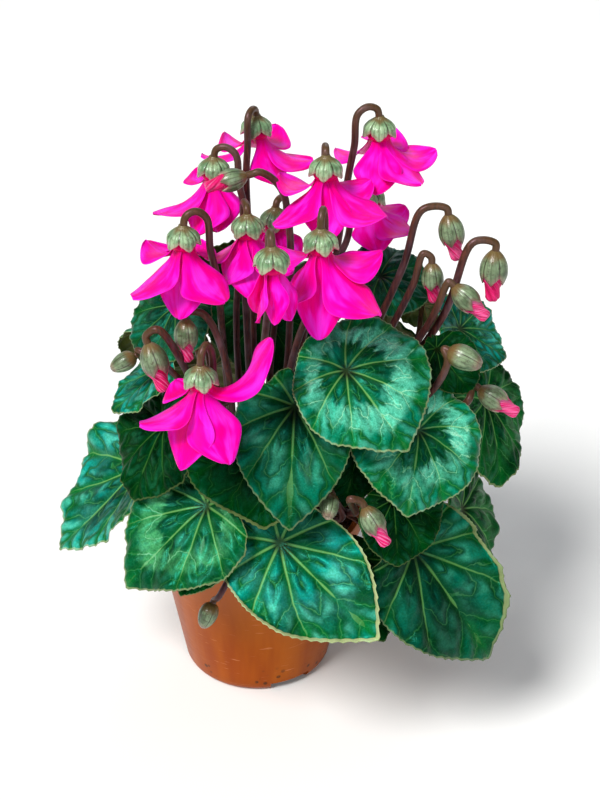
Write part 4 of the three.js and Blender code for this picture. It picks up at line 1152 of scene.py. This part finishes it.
def petal_mesh(petal, skin, shift):
    outer, inner, places = [], [], []
    for i in range(PETAL_ROWS + 1):
        t = i / PETAL_ROWS
        centre, side, face = petal_frame(petal, t)
        half = petal_half_width(petal, t)
        for j in range(PETAL_COLUMNS + 1):
            s = 2 * j / PETAL_COLUMNS - 1
            at = centre + side * (half * s) + face * petal_lift(petal, s, t, half) + shift
            thick = PETAL_THICKNESS / 2 * (1 - 0.55 * max(abs(s) ** 6, t ** 10))
            outer.append((at + face * thick) * MM)
            inner.append((at - face * thick) * MM)
            places.append((0.5 + 0.5 * s, t))
    row = PETAL_COLUMNS + 1
    starts = [i * row for i in range(PETAL_ROWS)]
    faces = [(a, a + row, a + row + 1, a + 1)
             for start in starts for a in range(start, start + PETAL_COLUMNS)]
    loop = starts + [PETAL_ROWS * row + j for j in range(row)]
    loop += [start + PETAL_COLUMNS for start in reversed(starts)]
    loop += range(PETAL_COLUMNS - 1, 0, -1)
    mesh = sheet_mesh("petal", outer, inner, faces, loop, skin)
    count = len(outer)
    add_map(mesh, "petal", places * 2)
    # The inner sheet is marked for the painted shade inside the corolla.
    add_values(mesh, "inner", [0] * count + [1] * count)
    add_values(mesh, "petal_seed", [petal["phase"] * 3] * (2 * count))
    return mesh


# %% [markdown]
# The throat closes the corolla under the calyx, and carries a blunt cone of stamens that is seen
# only from below. It is a round form, so a profile is turned.


# %% Throat of a flower
THROAT_COLUMNS = 30
THROAT_PROFILE = (
    (5.4, 0), (6, -0.8), (6.1, -2.6), (5.2, -4.0), (3.4, -4.2), (2.2, -5.4), (1.1, -7.4), (0.5, -8.2))


def throat_mesh(shift):
    mesh = turned_profile("throat", THROAT_PROFILE, THROAT_COLUMNS, PETAL, lambda point: shift + point)
    count = len(mesh.vertices)
    add_map(mesh, "petal", [(0.5, 0.02)] * count)
    # The throat is marked for the same painted shade.
    add_values(mesh, "inner", [1.0] * count)
    add_values(mesh, "petal_seed", [0.0] * count)
    return mesh


# %% [markdown]
# The calyx is turned too, but its rim drops into five points and each sepal swells between dark
# joints. Five separate sepals would leave gaps, while one turned skin stays closed. A flower's
# calyx caps its throat, and a bud's hugs the rolled petals.


# %% Calyx of a flower
CALYX_COLUMNS = 60
CALYX_ROWS = 16


def sepal_share(j, columns):
    """0 at the joint of two sepals and 1 at the middle of one."""
    return 1 - abs(((5 * j / columns) % 1.0) * 2 - 1)


def calyx_mesh(shift, turn, skin):
    joints, rises = [], []

    def place(i, j):
        share = sepal_share(j, CALYX_COLUMNS)
        rim = 0.7 - (SEPAL_DROP + 0.7) * share
        v = max(0.0, (i - 1) / (CALYX_ROWS - 1))
        height = rim + (CALYX_HEIGHT - rim) * v ** 0.95
        level = min(1.0, max(0.0, height / CALYX_HEIGHT))
        bell = (0.5 + 0.5 * math.cos(math.pi * level ** 1.5)) ** 0.68
        radius = CALYX_RADIUS * math.hypot(bell * 0.97, 0.26)
        radius *= 1 - 0.09 * smoothstep(0.3, 0.0, share) * (1 - level)
        radius += 0.35 * math.cos(math.pi * (share * 4 - 1)) * (1 - level) ** 0.5
        radius += 0.22 * max(0.0, -height) * share
        if i == 0:
            radius, height = radius - 1.1, height + 0.5
        joints.append(share)
        rises.append(v)
        return shift + polar(radius, j / CALYX_COLUMNS * TURN + turn, height)

    mesh = turned_mesh("calyx", CALYX_ROWS, CALYX_COLUMNS, place, skin)
    add_values(mesh, "joint", joints + [1.0, 1.0])
    add_values(mesh, "rise", rises + [0.0, 1.0])
    return mesh


# %% [markdown]
# A flower nods: its stem rises from the tuber, arches over in a tight hook and enters the calyx
# from above. The stem and calyx are one piece of the real plant and the corolla is another, so
# each flower gives two pieces.


# %% Flowers
FLOWER_SEED = 911
FORM_SEED = 5021
STEM_SHARE = 0.97
FLOWER_STEM_FOOT = 1.15
FLOWER_STEM_STEPS = 90


def hook_points(flower):
    top = Vector(flower["at"])
    azimuth, width = flower["arch"]
    over = polar(width, azimuth * DEGREE)
    rise = flower["rise"]
    foot = foot_of(flower["name"] + "_stem", 5)
    hook = (
        (0, CALYX_HEIGHT * 0.5),
        (0.12, CALYX_HEIGHT + rise * 0.65),
        (0.5, CALYX_HEIGHT + rise),
        (0.9, CALYX_HEIGHT + rise * 0.3),
        (1, -6),
        (1.2, -20),
    )
    points = [top + over * share + Vector((0, 0, height)) for share, height in hook]
    points += [Vector(flower["via"]), foot + tuber_normal(foot) * 12, foot]
    return points[::-1]


flower_draw = draws(FLOWER_SEED)
form_draw = draws(FORM_SEED)
for flower in FLOWERS:
    shift = Vector(flower["at"])
    stem = stem_mesh(hook_points(flower), FLOWER_STEM_RADIUS * STEM_SHARE, FLOWER_STEM_STEPS, STEM,
                     FLOWER_STEM_FOOT)
    calyx = calyx_mesh(shift, form_draw(0, 1.2), CALYX)
    piece = join_meshes(flower["name"].replace("flower", "hooked_stem"), [stem, calyx])
    place_piece(piece, flower["name"] + "_stem")
    between = (360 - 2 * STEM_BERTH) / (len(flower["petals"]) - 1)
    sheets = [throat_mesh(shift)]
    for i, form in enumerate(flower["petals"]):
        petal = {
            "form": form,
            "azimuth": flower["arch"][0] + STEM_BERTH + between * i,
            "width": flower.get("width", PETAL_WIDTH),
            "pin": flower.get("pin", PETAL_PIN),
            "twist": flower_draw(-12, 16),
            "cup": flower_draw(0.1, 0.35),
            "phase": form_draw(0, TURN),
        }
        sheets.append(petal_mesh(petal, PETAL, shift))
    piece = join_meshes(flower["name"].replace("flower", "pink_corolla"), sheets)
    place_piece(piece, flower["name"] + "_petals")
print("flowers made:", len(FLOWERS))

# %% [markdown]
# A bud is a twist of rolled petals held in a green calyx. The petals' folds wind round its tip,
# and the five sepals hug it and end in points. Both are turned forms whose radius also follows the
# folds. Every bud of a group grows from one crown.


# %% The form of a bud
BUD_COLUMNS = 50
BUD_ROWS = 30
BUD_CALYX_ROWS = 16
BUD_CALYX_TOP = 8.9
BUD_TWIST = 0.11


def bud_radius(z, green):
    """A round calyx end above, and the narrower roll of petals below. A green bud is an egg."""
    if green:
        return 5.7 * math.sqrt(max(0.0, 1 - (z / 9.2) ** 2)) * (1 + 0.02 * z)
    top = min(1.0, max(0.0, (9 - z) / 9))
    low = min(1.0, max(0.0, (z + 14) / 14))
    round_end = math.sin(math.pi / 2 * top ** 0.8) ** 0.9
    roll = 0.60 * min(1.0, (low / 0.16)) ** 0.5 + 0.40 * smoothstep(0.35, 0.95, low)
    return 5.3 * round_end * roll


def bud_meshes(bud):
    at, size, green = Vector(bud["at"]), bud["size"], bud["green"]
    turn = Vector((0, 0, -1)).rotation_difference(Vector(bud["hang"]).normalized())
    places, rolled, joints, rises = [], [], [], []

    def world(radius, j, z):
        return at + turn @ (polar(radius, j / BUD_COLUMNS * TURN, z) * size)

    def petal_place(i, j):
        u = i / BUD_ROWS
        z = (-8.0 + 14 * u) if green else (-12.9 + 19 * u ** 1.2)
        fold = 0.5 + 0.5 * math.cos(5 * (j / BUD_COLUMNS * TURN + BUD_TWIST * z * 2))
        places.append((0.5 + 0.46 * (fold * 2 - 1), 0.2 + 0.8 * (1 - u)))
        # Painted shade: the valleys between a bud's folds are marked to deepen in colour.
        rolled.append(0.5 * (1 - fold))
        return world(bud_radius(z, green) * (0.96 - 0.2 * (1 - fold) ** 2), j, z)

    def sepal_place(i, j):
        share = sepal_share(j, BUD_COLUMNS)
        rim = (-8.6 - 0.4 * share) if green else (-2.2 - 3.6 * share ** 1.2)
        if i == 0:
            z = rim + 0.5
            radius = bud_radius(z, green) - 0.3
        else:
            v = (i - 1) / (BUD_CALYX_ROWS - 1)
            z = rim + (BUD_CALYX_TOP - rim) * v
            lift = 0.42 * (1 - 0.9 * smoothstep(0.3, 0.0, share))
            radius = bud_radius(z, green) + lift * (1 - v ** 4)
        joints.append(share)
        rises.append(i / BUD_CALYX_ROWS)
        return world(max(0.3, radius), j, z)

    body = turned_mesh("bud petals", BUD_ROWS, BUD_COLUMNS, petal_place, BUD_PETAL)
    add_map(body, "petal", places + [(0.5, 1.0), (0.5, 0.2)])
    # The fold valleys' painted shade goes into the inner attribute.
    add_values(body, "inner", rolled + [0.5, 0.5])
    add_values(body, "petal_seed", [size * 20] * len(body.vertices))
    calyx = turned_mesh("bud calyx", BUD_CALYX_ROWS, BUD_COLUMNS, sepal_place, BUD_CALYX)
    add_values(calyx, "joint", joints + [1.0, 1.0])
    add_values(calyx, "rise", rises + [0.0, 1.0])
    return [body, calyx]


# %% Buds on their crowns
BUD_STEM_FOOT = 1.1
BUD_STEM_STEPS = 64
CROWN_COLUMNS = 20
CROWN_PROFILE = (
    (CROWN_RADIUS * 0.96, 0.0),
    (CROWN_RADIUS, 0.8),
    (CROWN_RADIUS * 0.62, CROWN_HEIGHT * 0.8),
    (CROWN_RADIUS * 0.2, CROWN_HEIGHT),
)

for group in BUD_GROUPS:
    count = len(group["buds"])
    point = foot_of(group["name"], 8 if count > 1 else 4)
    normal = tuber_normal(point)
    turn = Vector((0, 0, 1)).rotation_difference(normal)
    meshes = []
    if count > 1:
        crown = turned_profile("crown", CROWN_PROFILE, CROWN_COLUMNS, STEM,
                               lambda place: point + turn @ place)
        add_values(crown, "along", [0.0] * len(crown.vertices))
        meshes.append(crown)
    for i, bud in enumerate(group["buds"]):
        at, tip = Vector(bud["at"]), Vector(bud["hang"]).normalized()
        angle = group["azimuth"] * DEGREE + math.pi * (1 - 2 * (i + 0.5) / count)
        foot = point
        if count > 1:
            foot = point + turn @ polar(CROWN_RADIUS * 0.55, angle) + normal * (CROWN_HEIGHT * 0.3)
        path = [at - tip * (6 * bud["size"]), at - tip * (11 * bud["size"]),
                *[Vector(place) for place in bud["stem"]], foot + normal * 8, foot]
        radius = BUD_STEM_RADIUS * (0.7 + 0.3 * bud["size"]) * STEM_SHARE
        meshes.append(stem_mesh(path[::-1], radius, BUD_STEM_STEPS, STEM, BUD_STEM_FOOT))
        meshes += bud_meshes(bud)
    piece = join_meshes(group["name"].replace("buds", "hooked_buds"), meshes)
    place_piece(piece, group["name"])
print("buds made:", sum(len(group["buds"]) for group in BUD_GROUPS))

# %% [markdown]
# The pot is moulded plastic: a turned wall with a lip, and three drain notches through its bottom
# corner. A turned profile can't have notches, so the wall is made as one closed skin, and a
# Boolean modifier cuts them, as on the solid. It is shaded smooth, and sharp only where two faces
# meet steeply, at the notches.


# %% Pot
POT_SIDES = 180
POT_RINGS = (30, 60)
NOTCH_STEPS = 8
NOTCH_REACH = 12
SHARP_ANGLE = 40


def wall_radius(z):
    return POT_BASE_RADIUS + (POT_TOP_RADIUS - POT_BASE_RADIUS) * z / POT_HEIGHT


def pot_profile():
    lip = POT_HEIGHT - POT_RIM_HEIGHT
    above_notch = NOTCH_HEIGHT + 0.6
    return (
        (POT_BASE_RADIUS - POT_CORNER, 0),
        (POT_BASE_RADIUS - POT_CORNER * 0.62, 0.25),
        (POT_BASE_RADIUS - POT_CORNER * 0.28, POT_CORNER * 0.3),
        (POT_BASE_RADIUS - 0.05, POT_CORNER * 0.62),
        (wall_radius(POT_CORNER), POT_CORNER),
        (wall_radius(above_notch), above_notch),
        *((wall_radius(z), z) for z in POT_RINGS),
        (wall_radius(lip) - 0.05, lip - 0.6),
        (wall_radius(lip) + 0.35, lip + 0.2),
        (POT_RIM_RADIUS - 0.35, lip + 0.75),
        (POT_RIM_RADIUS, lip + 1.3),
        (POT_RIM_RADIUS, POT_HEIGHT - 1.3),
        (POT_RIM_RADIUS - 0.35, POT_HEIGHT - 0.4),
        (POT_RIM_RADIUS - 1.1, POT_HEIGHT),
        (POT_TOP_RADIUS - POT_WALL + 0.3, POT_HEIGHT),
        (POT_TOP_RADIUS - POT_WALL, POT_HEIGHT - 0.4),
        (wall_radius(POT_RINGS[-1]) - POT_WALL, POT_RINGS[-1]),
        (wall_radius(POT_CORNER) - POT_WALL, POT_CORNER),
        (wall_radius(POT_FLOOR) - POT_CORNER, POT_FLOOR),
    )


def notch_cutters():
    """Three closed blocks that reach through the bottom corner of the wall."""
    work = bmesh.new()
    for middle in NOTCH_ANGLES:
        shares = [k / NOTCH_STEPS - 0.5 for k in range(NOTCH_STEPS + 1)]
        turns = [(middle - 90 + NOTCH_SPREAD * share) * DEGREE for share in shares]
        outline = [polar(POT_BASE_RADIUS - NOTCH_DEPTH, turn) for turn in turns]
        outline += [polar(POT_BASE_RADIUS + NOTCH_REACH, turn) for turn in reversed(turns)]
        low = [work.verts.new(Vector((p.x, p.y, -1)) * MM) for p in outline]
        high = [work.verts.new(Vector((p.x, p.y, NOTCH_HEIGHT)) * MM) for p in outline]
        work.faces.new(low)
        work.faces.new(high)
        for k in range(len(outline)):
            n = (k + 1) % len(outline)
            work.faces.new((low[k], low[n], high[n], high[k]))
    bmesh.ops.recalc_face_normals(work, faces=work.faces)
    mesh = bpy.data.meshes.new("notch cutters")
    work.to_mesh(mesh)
    work.free()
    return new_object("notch cutters", mesh)


wall = new_object("terracotta_pot", turned_profile("pot", pot_profile(), POT_SIDES, POT))
cutters = notch_cutters()
cut = wall.modifiers.new("notches", "BOOLEAN")
cut.operation = "DIFFERENCE"
cut.solver = "EXACT"
cut.object = cutters
cut_wall = evaluated_mesh(wall)
wall.modifiers.clear()
wall.data = cut_wall
bpy.data.objects.remove(cutters)
smooth(wall.data)
wall.data.set_sharp_from_angle(angle=SHARP_ANGLE * DEGREE)
place_piece(wall, "pot")
print("pot faces:", len(wall.data.polygons))

# %% [markdown]
# The soil fills the pot and rises and falls a little on top. Crumbs lie on it. Modelled one by one
# they would take long, so Geometry Nodes scatter small lumps over the top, each with its own turn
# and size, and make them real meshes.

# %% Geometry Nodes: crumbs on soil
CRUMB_DENSITY = 160000.0
CRUMB_TREE, g, tree_in, tree_out = new_group("crumbs on soil", "GeometryNodeTree", [
    ("Geometry", "Geometry", None), ("Density", "Float", CRUMB_DENSITY), ("Crumb", "Float", 0.0011),
    ("Seed", "Int", 12), ("Skin", "Material", None)], [("Geometry", "Geometry")])
level = g.axes(g.add("GeometryNodeInputPosition"))[2]
spots = g.add("GeometryNodeDistributePointsOnFaces", {
    "Mesh": tree_in["Geometry"], "Selection": g.math("GREATER_THAN", level, (SOIL_TOP - 3) * MM),
    "Density": tree_in["Density"], "Seed": tree_in["Seed"]})
lump = g.add("GeometryNodeMeshIcoSphere", {"Radius": tree_in["Crumb"], "Subdivisions": 1})
spin = g.add("FunctionNodeRandomValue", {0: (0, 0, 0), 1: (6.28, 6.28, 6.28), "Seed": 3},
             data_type="FLOAT_VECTOR")
grow = g.add("FunctionNodeRandomValue", {0: (0.4, 0.4, 0.3), 1: (1.7, 1.4, 1.0), "Seed": 5},
             data_type="FLOAT_VECTOR")
crumbs = g.add("GeometryNodeInstanceOnPoints",
               {"Points": spots, "Instance": lump, "Rotation": spin, "Scale": grow})
crumbs = g.add("GeometryNodeRealizeInstances", {0: crumbs})
crumbs = g.add("GeometryNodeSetMaterial", {"Geometry": crumbs, "Material": tree_in["Skin"]})
put_out(CRUMB_TREE, tree_out, {"Geometry": crumbs})

# %% Soil
SOIL_RINGS = 26
SOIL_COLUMNS = 120
SOIL_EDGE = wall_radius(SOIL_TOP) - POT_WALL - 0.7
soil_profile = [
    (wall_radius(POT_CORNER) - POT_WALL - POT_CORNER, POT_FLOOR + 0.4),
    (wall_radius(POT_CORNER * 2) - POT_WALL - 0.5, POT_CORNER * 2),
    (SOIL_EDGE, SOIL_TOP - 1.5),
    *((SOIL_EDGE * (1 - 0.98 * i / SOIL_RINGS), SOIL_TOP) for i in range(SOIL_RINGS + 1)),
]


def uneven(point):
    """Lets only the top rise and fall."""
    if point.z > SOIL_TOP - 1:
        point.z += 1.0 * noise.noise(point * 0.12) + 0.6 * noise.noise(point * 0.4)
    return point


bed = turned_profile("soil", soil_profile, SOIL_COLUMNS, SOIL, uneven)
crumb_mesh = run_tree(bed.copy(), CRUMB_TREE, {"Skin": SOIL, "Density": CRUMB_DENSITY}, "crumbs")
piece = join_meshes("potting_soil", [bed, crumb_mesh])
place_piece(piece, "soil")
print("soil faces:", len(piece.data.polygons))

# %% [markdown]
# The tuber is a flattened ball of cork, a little lumpy, half sunk in the soil. Noise dents a
# turned ball. The dents only sink in, so the stems still stand on it.


# %% Tuber
TUBER_COLUMNS = 96
TUBER_ROWS = 48


def tuber_place(i, j):
    down = (0.02 + 0.96 * i / TUBER_ROWS) * math.pi
    unit = polar(math.sin(down), j / TUBER_COLUMNS * TURN, math.cos(down))
    dent = 0.02 * (1 + noise.noise(unit * 3)) + 0.01 * (1 + noise.noise(unit * 9))
    ball = Vector((unit.x * TUBER_RADIUS, unit.y * TUBER_RADIUS, unit.z * TUBER_HALF_HEIGHT))
    return ball * (1 - dent) + Vector((0, 0, TUBER_CENTRE))


piece = new_object("corky_tuber", turned_mesh("tuber", TUBER_ROWS, TUBER_COLUMNS, tuber_place, TUBER))
place_piece(piece, "tuber")

# %% [markdown]
# The stage is a pale floor under soft studio light. A picture of a studio could light it too, but
# plain lights need no file and are easy to move. A wide sun gives the soft shadow, the world fills
# it, and two area lights lift the front and the far side.

# %% Floor and light
FLOOR_SIZE = 6
WORLD_STRENGTH = 0.24
BACKDROP_STRENGTH = 0.95
KEY_STRENGTH = 3.4
KEY_SPREAD = 22
KEY_FROM = (-0.55, -0.62, 1.0)
MIDDLE = Vector((0, 0, 0.18))
corner = FLOOR_SIZE / 2
floor_mesh = bpy.data.meshes.new("floor")
floor_mesh.from_pydata([(x * corner, y * corner, 0) for x, y in ((-1, -1), (1, -1), (1, 1), (-1, 1))],
                       [], [(0, 1, 2, 3)])
floor = new_object("floor", floor_mesh)
material, g = new_material("pale floor")
shader = g.tree.nodes["Principled BSDF"]
shade = g.mix(g.noise(g.object_place(), 3.0), (0.93, 0.93, 0.93, 1), (0.95, 0.95, 0.95, 1))
g.tree.links.new(shade, shader.inputs["Base Color"])
shader.inputs["Roughness"].default_value = 0.9
floor.data.materials.append(material)

world = bpy.data.worlds.new("studio")
bpy.context.scene.world = world
world.use_nodes = True
sky = Graph(world.node_tree)
seen = sky.add("ShaderNodeLightPath", out="Is Camera Ray")
power = sky.times_plus(seen, BACKDROP_STRENGTH - WORLD_STRENGTH, WORLD_STRENGTH)
backdrop = world.node_tree.nodes["Background"]
backdrop.inputs["Color"].default_value = (0.96, 0.98, 1.0, 1)
world.node_tree.links.new(power, backdrop.inputs["Strength"])


def new_light(name, kind, power, colour):
    data = bpy.data.lights.new(name, kind)
    data.energy = power
    data.color = colour
    return new_object(name, data)


key = new_light("key", "SUN", KEY_STRENGTH, (1.0, 0.99, 0.96))
key.data.angle = KEY_SPREAD * DEGREE
key.rotation_euler = Vector(KEY_FROM).to_track_quat("Z", "Y").to_euler()
for name, place, size, power, colour in (
    ("fill", (0.5, -1.1, 0.8), 0.5, 3, (0.93, 0.97, 1.0)),
    ("back", (0.2, 1.0, 0.9), 0.7, 2.5, (0.9, 0.97, 1.0)),
):
    light = new_light(name, "AREA", power, colour)
    light.data.size = size
    light.location = place
    light.rotation_euler = (MIDDLE - Vector(place)).to_track_quat("-Z", "Y").to_euler()

# %% [markdown]
# The camera stands where the photograph was taken: in front of the pot, above it, and looking
# down by about thirty degrees. Its lens follows from the height of the picture.

# %% Camera
CAMERA_PLACE = (25.5, -690, 580)
CAMERA_DOWN = 30.6
PHOTO_HEIGHT = 800
FOCAL_PIXELS = 1463
SENSOR = 36
camera_data = bpy.data.cameras.new("camera")
camera_data.sensor_fit = "VERTICAL"
camera_data.sensor_height = SENSOR
camera_data.lens = SENSOR * FOCAL_PIXELS / PHOTO_HEIGHT
camera = new_object("camera", camera_data)
camera.location = Vector(CAMERA_PLACE) * MM
camera.rotation_euler = ((90 - CAMERA_DOWN) * DEGREE, 0, 0)
bpy.context.scene.camera = camera
bpy.context.scene.view_settings.view_transform = "Standard"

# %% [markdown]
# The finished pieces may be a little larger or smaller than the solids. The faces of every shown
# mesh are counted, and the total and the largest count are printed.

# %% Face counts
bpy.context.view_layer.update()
faces = {o.name: len(o.data.polygons) for o in bpy.data.objects if o.type == "MESH" and not o.hide_render}
print("faces in all:", sum(faces.values()), "most:", max(faces.values()))
